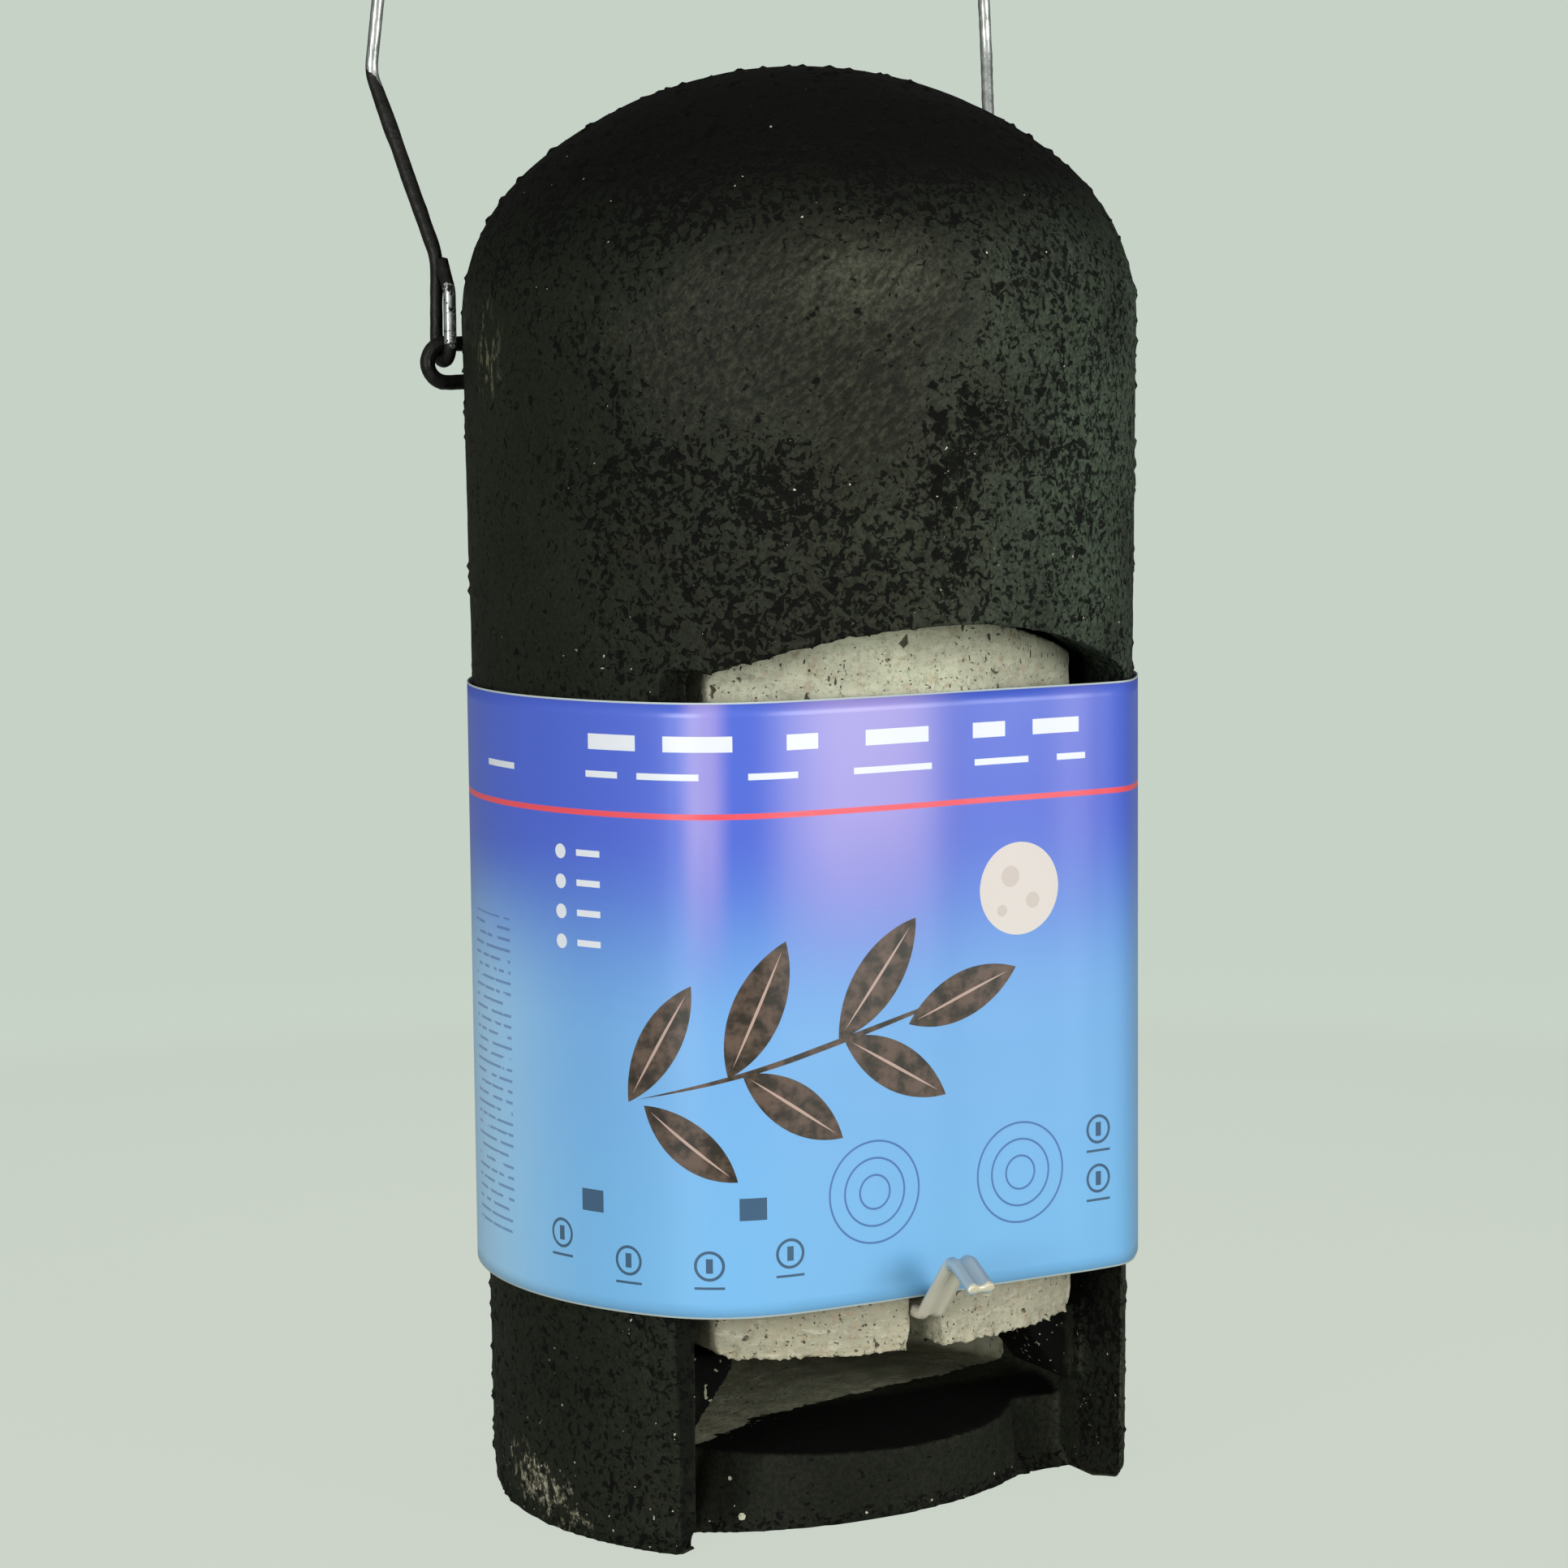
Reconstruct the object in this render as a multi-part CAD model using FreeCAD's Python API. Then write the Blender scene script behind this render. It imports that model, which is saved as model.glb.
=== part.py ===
import FreeCAD, Part
import math
import os

# Round bat box cast in wood-concrete. Millimetres, +Z up, the front faces -Y.
# The origin is the middle of the base, on the axis of the round body.

V = FreeCAD.Vector
SMALL = 0.01                 # two places closer than this are the same

# Body: a slightly tapered round wall under a dome, over a cavity with a conical top.
# The dome's outline follows two tangent arcs in short straight runs.
SHOULDER_RADIUS = 82.5
BODY_TAPER = 3.2             # the base is this much smaller in radius than the shoulder
SHOULDER_Z = 285.4
DOME_RISE = 62.0
DOME_KNUCKLE = 50.0          # radius of the dome's outer arc, at the shoulder
KNUCKLE_RUNS = 8
CROWN_RUNS = 6
WALL = 16.3                  # at the base
ROOF_THICKNESS = 20.0
CAVITY_CONE_RISE = 34.0      # height of the cavity's conical top
CAVITY_TOP_RADIUS = 20.0
BASE_CHAMFER = 1.5

# Floor: its front follows one arc at the top and a flatter one at the foot, which reaches both jambs
FLOOR_THICKNESS = 18.1
FLOOR_SETBACK = 12.4         # from the cavity's wall to the top arc
FLOOR_FOOT_RADIUS = 90.0
FLOOR_FOOT_X = -7.0          # middle of the foot's arc
FLOOR_FOOT_SETBACK = 16.5    # from the cavity's wall to the foot's arc, in the middle
FLOOR_FOOT_SIDE = 4.7        # the foot stands at least this far in front of the back of the jambs
FLOOR_RUNS = 14

# Front opening: straight jambs under a shallow arch whose underside rises inward
JAMB_LAP = 5.5               # the jambs stand this far inside the cavity's width
LEFT_JAMB_FILL = 2.0         # the left jamb is this much thicker
LEFT_JAMB_FLAT = 5.4         # width of the upright flat on the left jamb's front
RIGHT_JAMB_CHAMFER = 1.6
ARCH_TOP_Z = 215.0
ARCH_RADIUS = 108.0
ARCH_OFFSET = -3.0           # the arch was cast a little off the middle
SOFFIT_SLOPE = 0.14          # rise for each millimetre inward

# Ledges: a bracket in each back corner of the opening, under the panel
LEDGE_TOP_Z = 43.5
LEDGE_DEPTH = 24.0           # along Y
LEDGE_REACH = 17.5           # from the jamb towards the middle
LEDGE_LIP = 4.0              # height of its upright inner face
LEDGE_HEIGHT = 18.5
LEDGE_FOOT = 6.5             # width that is left at its foot
LEDGE_INSIDE = 4.0           # how far it is buried in the wall

# Front panel: a curved slab that stands on the ledges, with a tongue behind the arch
PANEL_THICKNESS = 16.0
PANEL_SETBACK = 1.4          # its front lies this far inside the cavity's wall, in the middle
PANEL_SIDE_GAP = 8.2
PANEL_TOP_GAP = 1.0
PANEL_CORNER_ROUND = 4.0
TONGUE_HALF_WIDTH = 20.0
TONGUE_RISE = 9.0            # above the top of the arch
TONGUE_GAP = 0.4             # to the wall in front of it

# Latch: a two-bead strip through a notch in the panel's lower edge
LATCH_X = -1.4
BEAD_RADIUS = 1.6
BEAD_PITCH = 4.1
BEAD_WEB = 1.8               # thickness between the beads
BEAD_SIDES = 6               # flats round each bead
NOTCH_CLEARANCE = 0.3        # at each side of the strip
NOTCH_HEADROOM = 4.3         # above the strip
LATCH_LIFT = 10.1            # from the panel's lower edge to the middle of the strip
LATCH_FOOT = 2.0             # straight run out of the panel's face
LATCH_ARM = 21.0
LATCH_ARM_ANGLE = 48.5
LATCH_TIP = 11.2
LATCH_TIP_ANGLE = -29.0
LATCH_INNER_LEG = 16.0
LATCH_BACK_GAP = 0.3         # from the panel's back to the inner leg
LATCH_BEND = 3.2

# Paper band: a sleeve that touches the body at its top edge and runs straight across the opening
PAPER_THICKNESS = 0.35
PAPER_GAP = 0.25
PAPER_TOP_GAP = 0.4          # below the lower end of the arch
PAPER_FOOT_GAP = 2.4         # from the top of the strip to the band's lower edge

# Eyes: wire staples set in the wall near the shoulder
WIRE_SIDES = 8              # every wire is a prism of this many sides
EYE_WIRE_RADIUS = 2.0
EYE_PLAY = 1.0               # the eye is this much larger in radius than the bail's wire needs
EYE_ANGLE = 25.1             # degrees round the wall from its side towards the back
EYE_DROP = 8.9               # below the shoulder
EYE_LEG = 15.0               # straight leg from the eye's bow into the wall
EYE_TO_HOOK = 0.4            # the bow starts this far inside the hook's plane

# Bail: one wire, hooked through both eyes, with bent legs and a round arch
BAIL_WIRE_RADIUS = 1.65
HOOK_PLAY = 0.65             # between the hook and the wire of the eye
WALL_CLEARANCE = 0.35        # between the hook and the wall
HOOK_STRAIGHT = 3.0
FREE_END_RISE = 20.0
FREE_END_STRAIGHT = 12.5
FREE_END_BEND = 5.0
FREE_END_GAP = 0.5           # between the hook's free end and the leg
LEG_RISE = 21.0              # from the pivot to the leg's first bend
LEG_SPREAD = -0.4
SPRING_RISE = 91.0           # from the pivot to the foot of the arch
SPRING_BACK = 19.6
SPRING_SPREAD = 6.2          # the arch's foot stands this far outside the hook
LEFT_KINK_DROP = 25.0        # from the foot of the arch down to the kink in each leg
RIGHT_KINK_DROP = 13.0
LEAN_IN = 0.10               # of the legs above the kinks, for each millimetre of height
LEAN_FORWARD = 0.08
LEG_BEND = 14.0
LEFT_KINK_BEND = 10.0
RIGHT_KINK_BEND = 24.0

# Sizes that follow from those above
BASE_RADIUS = SHOULDER_RADIUS - BODY_TAPER
CAVITY_RADIUS = BASE_RADIUS - WALL
CAVITY_TOP_Z = SHOULDER_Z + DOME_RISE - ROOF_THICKNESS
FLOOR_RADIUS = CAVITY_RADIUS - FLOOR_SETBACK
OPENING_HALF = CAVITY_RADIUS - JAMB_LAP
OPENING_LEFT = LEFT_JAMB_FILL - OPENING_HALF
LEFT_FLAT_Y = -math.sqrt(BASE_RADIUS ** 2 - (LEFT_JAMB_FLAT - OPENING_LEFT) ** 2)
JAMB_BACK_Y = -math.sqrt(CAVITY_RADIUS ** 2 - OPENING_HALF ** 2)
PANEL_HALF = OPENING_HALF - PANEL_SIDE_GAP
PANEL_FRONT_Y = PANEL_SETBACK - CAVITY_RADIUS
PANEL_CENTRE_Y = PANEL_FRONT_Y + SHOULDER_RADIUS
PANEL_BACK_Y = PANEL_FRONT_Y + PANEL_THICKNESS
PANEL_BOTTOM_Z = LEDGE_TOP_Z
LATCH_Z = PANEL_BOTTOM_Z + LATCH_LIFT
LATCH_TOP_Z = LATCH_Z + BEAD_RADIUS
EYE_Y = SHOULDER_RADIUS * math.sin(math.radians(EYE_ANGLE))
EYE_Z = SHOULDER_Z - EYE_DROP
EYE_RADIUS = EYE_WIRE_RADIUS + BAIL_WIRE_RADIUS + EYE_PLAY
HOOK_RADIUS = EYE_WIRE_RADIUS + BAIL_WIRE_RADIUS + HOOK_PLAY
HOOK_X = math.sqrt((SHOULDER_RADIUS + BAIL_WIRE_RADIUS + WALL_CLEARANCE) ** 2 - (EYE_Y - HOOK_RADIUS) ** 2)
EYE_X = HOOK_X - EYE_TO_HOOK
PIVOT_Z = EYE_Z + EYE_RADIUS


def body_radius(z):
    """Outer radius of the tapered wall at height z."""
    return BASE_RADIUS + BODY_TAPER * z / SHOULDER_Z


def soffit_z(x, y):
    """Height of the arch's underside at a place in plan."""
    arch = math.sqrt(ARCH_RADIUS ** 2 - (x - ARCH_OFFSET) ** 2) - ARCH_RADIUS
    return ARCH_TOP_Z + arch + SOFFIT_SLOPE * (y + SHOULDER_RADIUS)


def line(a, b):
    return Part.LineSegment(a, b).toShape()


def outside_solid():
    """The body's outside: the tapered wall, a knuckle arc at the shoulder and a flatter crown arc over it."""
    knuckle_x = SHOULDER_RADIUS - DOME_KNUCKLE
    crown = (knuckle_x ** 2 + DOME_RISE ** 2 - DOME_KNUCKLE ** 2) / (2 * (DOME_RISE - DOME_KNUCKLE))
    crown_mid = V(0, 0, SHOULDER_Z + DOME_RISE - crown)
    knuckle_mid = V(knuckle_x, 0, SHOULDER_Z)
    meet_angle = math.atan2(knuckle_mid.z - crown_mid.z, knuckle_x)
    points = [V(0, 0, 0), V(BASE_RADIUS, 0, 0)]
    points += points_on_arc(knuckle_mid, DOME_KNUCKLE, 0, meet_angle, KNUCKLE_RUNS)
    points += points_on_arc(crown_mid, crown, meet_angle, math.pi / 2, CROWN_RUNS)[1:]
    return Part.Face(Part.makePolygon(points + points[:1])).revolve(V(0, 0, 0), V(0, 0, 1), 360)


def points_on_arc(centre, radius, first_angle, last_angle, runs):
    """Points along an arc in the XZ plane, at angles from +X towards +Z."""
    angles = [first_angle + (last_angle - first_angle) * step / runs for step in range(runs + 1)]
    return [centre + V(math.cos(angle), 0, math.sin(angle)) * radius for angle in angles]


def cavity_solid():
    """The roost space: a cylinder on the floor with a cone on it."""
    cone_z = CAVITY_TOP_Z - CAVITY_CONE_RISE
    side = Part.makeCylinder(CAVITY_RADIUS, cone_z - FLOOR_THICKNESS, V(0, 0, FLOOR_THICKNESS))
    top = Part.makeCone(CAVITY_RADIUS, CAVITY_TOP_RADIUS, CAVITY_CONE_RISE, V(0, 0, cone_z))
    return side.fuse(top)


def opening_space(left_x, right_x, low_z, gap):
    """Space of the opening, from in front of the body to behind its axis, drawn in by gap under the arch."""
    front_y = -2 * SHOULDER_RADIUS
    depth = 2 * SHOULDER_RADIUS - front_y
    sunk_z = low_z - SOFFIT_SLOPE * depth
    left = V(left_x, front_y, soffit_z(left_x, front_y) - gap)
    top = V(ARCH_OFFSET, front_y, soffit_z(ARCH_OFFSET, front_y) - gap)
    right = V(right_x, front_y, soffit_z(right_x, front_y) - gap)
    low_left = V(left_x, front_y, sunk_z)
    low_right = V(right_x, front_y, sunk_z)
    arch = Part.Arc(left, top, right).toShape()
    outline = Part.Wire([arch, line(right, low_right), line(low_right, low_left), line(low_left, left)])
    space = Part.Face(outline).extrude(V(0, depth, SOFFIT_SLOPE * depth))
    above = plan_box(2 * left_x, 2 * right_x, front_y, 0, low_z, SHOULDER_Z + DOME_RISE)
    return space.common(above)


def plan_box(low_x, high_x, low_y, high_y, low_z, high_z):
    return Part.makeBox(high_x - low_x, high_y - low_y, high_z - low_z, V(low_x, low_y, low_z))


def floor_cut():
    """What is taken away in front of the floor, between the jambs."""
    space = plan_box(OPENING_LEFT, OPENING_HALF, -SHOULDER_RADIUS, JAMB_BACK_Y, 0, FLOOR_THICKNESS)
    return space.cut(floor_front())


def floor_front():
    """The floor's front as flats between its top arc and its foot, on a block that ends behind the jambs."""
    back_y = JAMB_BACK_Y / 2
    foot_centre_y = FLOOR_FOOT_RADIUS + FLOOR_FOOT_SETBACK - CAVITY_RADIUS
    top = []
    foot = []
    for step in range(FLOOR_RUNS + 1):
        x = OPENING_HALF * (2 * step / FLOOR_RUNS - 1)
        arc_y = -math.sqrt(max(0, FLOOR_RADIUS ** 2 - x ** 2))
        foot_y = foot_centre_y - math.sqrt(FLOOR_FOOT_RADIUS ** 2 - (x - FLOOR_FOOT_X) ** 2)
        top.append(V(x, min(back_y, arc_y), FLOOR_THICKNESS))
        foot.append(V(x, min(JAMB_BACK_Y - FLOOR_FOOT_SIDE, foot_y), 0))
    top_back = [V(OPENING_HALF, 0, FLOOR_THICKNESS), V(-OPENING_HALF, 0, FLOOR_THICKNESS)]
    foot_back = [V(OPENING_HALF, 0, 0), V(-OPENING_HALF, 0, 0)]
    top_ring = top + top_back
    foot_ring = foot + foot_back
    loops = [top_ring, foot_ring]
    for here in range(len(top_ring)):
        ahead = (here + 1) % len(top_ring)
        loops.append([foot_ring[here], foot_ring[ahead], top_ring[ahead]])
        loops.append([foot_ring[here], top_ring[ahead], top_ring[here]])
    faces = [Part.Face(Part.makePolygon(loop + loop[:1])) for loop in loops]
    return Part.makeSolid(Part.makeShell(faces))


def left_flat():
    """What is planed off the front of the left jamb, up to the end of the arch."""
    return plan_box(-SHOULDER_RADIUS, OPENING_LEFT, -SHOULDER_RADIUS, LEFT_FLAT_Y,
                    0, soffit_z(OPENING_LEFT, LEFT_FLAT_Y))


def ledge(side):
    """Cast bracket in the corner behind one jamb, wide at the top and narrow at its foot."""
    inner = OPENING_HALF - LEDGE_REACH
    buried = OPENING_HALF + LEDGE_INSIDE
    foot = OPENING_HALF - LEDGE_FOOT
    front = JAMB_BACK_Y - LEDGE_DEPTH / 2
    points = [
        V(side * buried, front, LEDGE_TOP_Z),
        V(side * inner, front, LEDGE_TOP_Z),
        V(side * inner, front, LEDGE_TOP_Z - LEDGE_LIP),
        V(side * foot, front, LEDGE_TOP_Z - LEDGE_HEIGHT),
        V(side * buried, front, LEDGE_TOP_Z - LEDGE_HEIGHT),
    ]
    face = Part.Face(Part.makePolygon(points + points[:1]))
    block = face.extrude(V(0, LEDGE_DEPTH, 0))
    return block.common(Part.makeCylinder(CAVITY_RADIUS + LEDGE_INSIDE, SHOULDER_Z))


def rounded_path(points, bends):
    """Wire of straight runs through points, with an arc of the given radius at each inner point."""
    edges = []
    start = points[0]
    for here, before, after, bend in zip(points[1:-1], points[:-2], points[2:], bends):
        back = (before - here).normalize()
        ahead = (after - here).normalize()
        half_angle = math.acos(max(-1, min(1, back.dot(ahead)))) / 2
        run = bend / math.tan(half_angle)
        bisector = (back + ahead).normalize()
        middle = here + bisector * (bend / math.sin(half_angle) - bend)
        arc_start = here + back * run
        arc_end = here + ahead * run
        edges.append(line(start, arc_start))
        edges.append(Part.Arc(arc_start, middle, arc_end).toShape())
        start = arc_end
    edges.append(line(start, points[-1]))
    return edges


def wire_section(radius, centre, tangent):
    """Prism outline of a wire across its path, with corners a little outside the true circle."""
    across = tangent.cross(V(0, 1, 0))
    if across.Length < SMALL:
        across = tangent.cross(V(0, 0, 1))
    across = across.normalize()
    up = across.cross(tangent).normalize()
    corner = radius / math.sqrt(math.cos(math.pi / WIRE_SIDES))
    points = []
    for step in range(WIRE_SIDES):
        turn = 2 * math.pi * step / WIRE_SIDES
        points.append(centre + across * (corner * math.cos(turn)) + up * (corner * math.sin(turn)))
    return Part.makePolygon(points + points[:1])


def swept_wire(edges, radius):
    """Solid wire along a smooth row of edges."""
    path = Part.Wire(edges)
    first = path.OrderedEdges[0]
    start = path.OrderedVertexes[0].Point
    along = first.tangentAt(first.FirstParameter)
    return path.makePipeShell([wire_section(radius, start, along)], True, False)


def eye(side):
    """Staple in the XZ plane: a half-round bow outside the wall and two legs into it."""
    bow_x = side * EYE_X
    leg_x = side * (EYE_X - EYE_LEG)
    top_z = EYE_Z + EYE_RADIUS
    low_z = EYE_Z - EYE_RADIUS
    bow = Part.Arc(V(bow_x, EYE_Y, top_z), V(side * (EYE_X + EYE_RADIUS), EYE_Y, EYE_Z), V(bow_x, EYE_Y, low_z))
    edges = [
        line(V(leg_x, EYE_Y, top_z), V(bow_x, EYE_Y, top_z)),
        bow.toShape(),
        line(V(bow_x, EYE_Y, low_z), V(leg_x, EYE_Y, low_z)),
    ]
    return swept_wire(edges, EYE_WIRE_RADIUS)


def distance_from_axis(point):
    return math.hypot(point.x, point.y)


def is_base_arc(edge):
    """True for the base's outer edge, round the axis."""
    middle = edge.valueAt((edge.FirstParameter + edge.LastParameter) / 2)
    points = [edge.valueAt(edge.FirstParameter), edge.valueAt(edge.LastParameter), middle]
    return all(abs(p.z) < SMALL and abs(distance_from_axis(p) - BASE_RADIUS) < SMALL for p in points)


def housing():
    """The one casting: wall, dome, floor, jambs, arch and ledges."""
    body = outside_solid().cut(cavity_solid())
    body = body.cut(opening_space(OPENING_LEFT, OPENING_HALF, FLOOR_THICKNESS, 0))
    body = body.cut(floor_cut())
    body = body.cut(left_flat())
    for side in (-1, 1):
        body = body.fuse(ledge(side))
    body = body.removeSplitter()
    body = body.makeChamfer(RIGHT_JAMB_CHAMFER, [e for e in body.Edges if is_right_jamb_edge(e)])
    body = body.makeChamfer(BASE_CHAMFER, [e for e in body.Edges if is_base_arc(e)])
    for side in (-1, 1):
        body = body.cut(eye(side))
    return body


def is_right_jamb_edge(edge):
    """True for the upright outer edge of the right jamb."""
    points = [edge.valueAt(edge.FirstParameter), edge.valueAt(edge.LastParameter)]
    upright = abs(points[0].z - points[1].z) > LEDGE_TOP_Z
    outside = all(distance_from_axis(p) > BASE_RADIUS - SMALL for p in points)
    return upright and outside and all(abs(p.x - OPENING_HALF) < SMALL for p in points)


def panel_slab(high_z):
    """Curved slab between two arcs about one upright axis, from the panel's lower edge up."""
    height = high_z - PANEL_BOTTOM_Z
    foot = V(0, PANEL_CENTRE_Y, PANEL_BOTTOM_Z)
    slab = Part.makeCylinder(SHOULDER_RADIUS, height, foot)
    slab = slab.cut(Part.makeCylinder(SHOULDER_RADIUS - PANEL_THICKNESS, height, foot))
    return slab


def front_panel():
    high_z = ARCH_TOP_Z + TONGUE_RISE
    slab = panel_slab(high_z)
    panel = slab.common(opening_space(-PANEL_HALF, PANEL_HALF, PANEL_BOTTOM_Z, PANEL_TOP_GAP))
    panel = panel.makeFillet(PANEL_CORNER_ROUND, [e for e in panel.Edges if is_low_corner(e)])
    tongue = slab.common(plan_box(-TONGUE_HALF_WIDTH, TONGUE_HALF_WIDTH, -CAVITY_RADIUS, 0,
                                  PANEL_BOTTOM_Z + PANEL_THICKNESS, high_z))
    tongue = tongue.common(Part.makeCylinder(CAVITY_RADIUS - TONGUE_GAP, high_z))
    panel = panel.fuse(tongue).removeSplitter()
    half = BEAD_PITCH / 2 + BEAD_RADIUS + NOTCH_CLEARANCE
    notch = plan_box(LATCH_X - half, LATCH_X + half, 2 * PANEL_FRONT_Y, 0, 0, LATCH_TOP_Z + NOTCH_HEADROOM)
    return panel.cut(notch)


def is_low_corner(edge):
    """True for the two edges through the slab at its lower corners."""
    box = edge.BoundBox
    return box.ZMax < PANEL_BOTTOM_Z + SMALL and box.XLength < SMALL and box.YLength > PANEL_THICKNESS / 2


def latch_strip():
    """Strip of two beads, bent in the plane x = LATCH_X and swept along its middle line."""
    inner_y = PANEL_BACK_Y + LATCH_BACK_GAP + BEAD_RADIUS
    foot = V(LATCH_X, PANEL_FRONT_Y - LATCH_FOOT, LATCH_Z)
    arm_angle = math.radians(LATCH_ARM_ANGLE)
    tip_angle = math.radians(LATCH_TIP_ANGLE)
    apex = foot + V(0, -math.cos(arm_angle), math.sin(arm_angle)) * LATCH_ARM
    tip = apex + V(0, -math.cos(tip_angle), math.sin(tip_angle)) * LATCH_TIP
    points = [V(LATCH_X, inner_y, LATCH_Z + LATCH_INNER_LEG), V(LATCH_X, inner_y, LATCH_Z), foot, apex, tip]
    path = Part.Wire(rounded_path(points, [LATCH_BEND] * 3))
    section = Part.makePolygon([points[0] + corner for corner in bead_corners()])
    return path.makePipeShell([section], True, False)


def bead_corners():
    """Closed outline of two round beads joined by a web, as offsets across the strip."""
    half_neck = math.asin(BEAD_WEB / 2 / BEAD_RADIUS)
    sweep = 2 * math.pi - 2 * half_neck
    corners = []
    for side in (1, -1):
        for step in range(BEAD_SIDES + 1):
            turn = math.pi + half_neck + sweep * step / BEAD_SIDES
            x = BEAD_PITCH / 2 + BEAD_RADIUS * math.cos(turn)
            corners.append(V(side * x, side * BEAD_RADIUS * math.sin(turn), 0))
    return corners + corners[:1]


def band_outline(extra):
    """Plan outline of the paper: round the body, and tight over the opening and any crown of the panel there."""
    top_z = paper_top_z()
    radius = body_radius(top_z) + PAPER_GAP + extra
    corner_x = OPENING_HALF + extra / 2
    corner_y = -math.sqrt(radius ** 2 - corner_x ** 2)
    crown = SHOULDER_RADIUS + PAPER_GAP + extra
    away = math.hypot(corner_x, corner_y - PANEL_CENTRE_Y)
    corner_angle = math.atan2(corner_x, PANEL_CENTRE_Y - corner_y)
    touch_angle = corner_angle - math.acos(min(1, crown / away))
    right = V(corner_x, corner_y, 0)
    left = V(-corner_x, corner_y, 0)
    if touch_angle < SMALL:
        return Part.Wire([Part.Arc(right, V(0, radius, 0), left).toShape(), line(left, right)])
    touch = V(crown * math.sin(touch_angle), PANEL_CENTRE_Y - crown * math.cos(touch_angle), 0)
    touch_left = V(-touch.x, touch.y, 0)
    return Part.Wire([
        Part.Arc(right, V(0, radius, 0), left).toShape(),
        line(left, touch_left),
        Part.Arc(touch_left, V(0, PANEL_CENTRE_Y - crown, 0), touch).toShape(),
        line(touch, right),
    ])


def paper_top_z():
    """The band's top edge lies just under the lower end of the arch."""
    jamb_y = -math.sqrt(body_radius(ARCH_TOP_Z) ** 2 - OPENING_HALF ** 2)
    return min(soffit_z(-OPENING_HALF, jamb_y), soffit_z(OPENING_HALF, jamb_y)) - PAPER_TOP_GAP


def paper_band():
    foot_z = LATCH_TOP_Z + PAPER_FOOT_GAP
    height = V(0, 0, paper_top_z() - foot_z)
    outside = Part.Face(band_outline(PAPER_THICKNESS)).extrude(height)
    inside = Part.Face(band_outline(0)).extrude(height)
    band = outside.cut(inside)
    band.translate(V(0, 0, foot_z))
    return band


def bail_leg(side, kink_drop, kink_bend):
    """Path of one leg from the free end of its hook, round the eye and up to the foot of the arch."""
    free_y = EYE_Y + HOOK_RADIUS - 2 * BAIL_WIRE_RADIUS - FREE_END_GAP
    hook_front = V(side * HOOK_X, EYE_Y - HOOK_RADIUS, PIVOT_Z)
    hook_back = V(side * HOOK_X, EYE_Y + HOOK_RADIUS, PIVOT_Z)
    up = V(0, 0, HOOK_STRAIGHT)
    free_up = V(0, 0, FREE_END_STRAIGHT)
    spring = V(side * (HOOK_X + SPRING_SPREAD), EYE_Y + SPRING_BACK, PIVOT_Z + SPRING_RISE)
    kink = spring + V(side * LEAN_IN, LEAN_FORWARD, -1) * kink_drop
    free_end = V(side * HOOK_X, free_y, PIVOT_Z + FREE_END_RISE)
    leg_bend = V(side * (HOOK_X + LEG_SPREAD), EYE_Y + HOOK_RADIUS, PIVOT_Z + LEG_RISE)
    front = rounded_path([free_end, hook_front + free_up, hook_front], [FREE_END_BEND])
    hook = Part.Arc(hook_front, V(side * HOOK_X, EYE_Y, PIVOT_Z - HOOK_RADIUS), hook_back).toShape()
    back = rounded_path([hook_back, hook_back + up, leg_bend, kink, spring], [LEG_BEND, LEG_BEND, kink_bend])
    return front + [hook] + back, spring


def bail():
    """One wire, swept along both legs and the round arch that joins them."""
    left, left_spring = bail_leg(-1, LEFT_KINK_DROP, LEFT_KINK_BEND)
    right, right_spring = bail_leg(1, RIGHT_KINK_DROP, RIGHT_KINK_BEND)
    lean = math.atan(LEAN_IN / math.hypot(1, LEAN_FORWARD))
    rise = right_spring.x / math.cos(lean) * (1 - math.sin(lean))
    top = V(0, right_spring.y, right_spring.z) + V(0, -LEAN_FORWARD, 1).normalize() * rise
    arch = Part.Arc(left_spring, top, right_spring).toShape()
    return swept_wire(Part.__sortEdges__(left + [arch] + right), BAIL_WIRE_RADIUS)


def main():
    os.makedirs("parts", exist_ok=True)
    pieces = {
        "housing": housing(),
        "front_panel": front_panel(),
        "latch_strip": latch_strip(),
        "paper_band": paper_band(),
        "left_eye": eye(-1),
        "right_eye": eye(1),
        "bail": bail(),
    }
    for name, shape in pieces.items():
        if len(shape.Solids) == 1:
            shape = shape.Solids[0]
        shape.exportStep(os.path.join("parts", name + ".step"))
        box = shape.optimalBoundingBox(False)
        print(name, shape.ShapeType, shape.isValid(), len(shape.Solids), round(shape.Volume / 1000, 2), "cm3",
              [round(v, 2) for v in (box.XMin, box.YMin, box.ZMin, box.XMax, box.YMax, box.ZMax)])


main()
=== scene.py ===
import math
import bpy
import bmesh
import numpy as np
from mathutils import Matrix, Vector


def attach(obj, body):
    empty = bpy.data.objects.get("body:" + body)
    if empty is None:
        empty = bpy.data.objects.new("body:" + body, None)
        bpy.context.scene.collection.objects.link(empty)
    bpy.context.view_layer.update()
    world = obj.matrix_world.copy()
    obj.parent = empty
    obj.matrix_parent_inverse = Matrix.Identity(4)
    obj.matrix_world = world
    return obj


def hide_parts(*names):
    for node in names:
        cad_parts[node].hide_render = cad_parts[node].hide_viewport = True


# Round cast bat box with a lift-out panel, a paper sleeve and a wire hanger.
# Metres, +Z up, the front faces -Y. The origin is the middle of the base.

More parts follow.
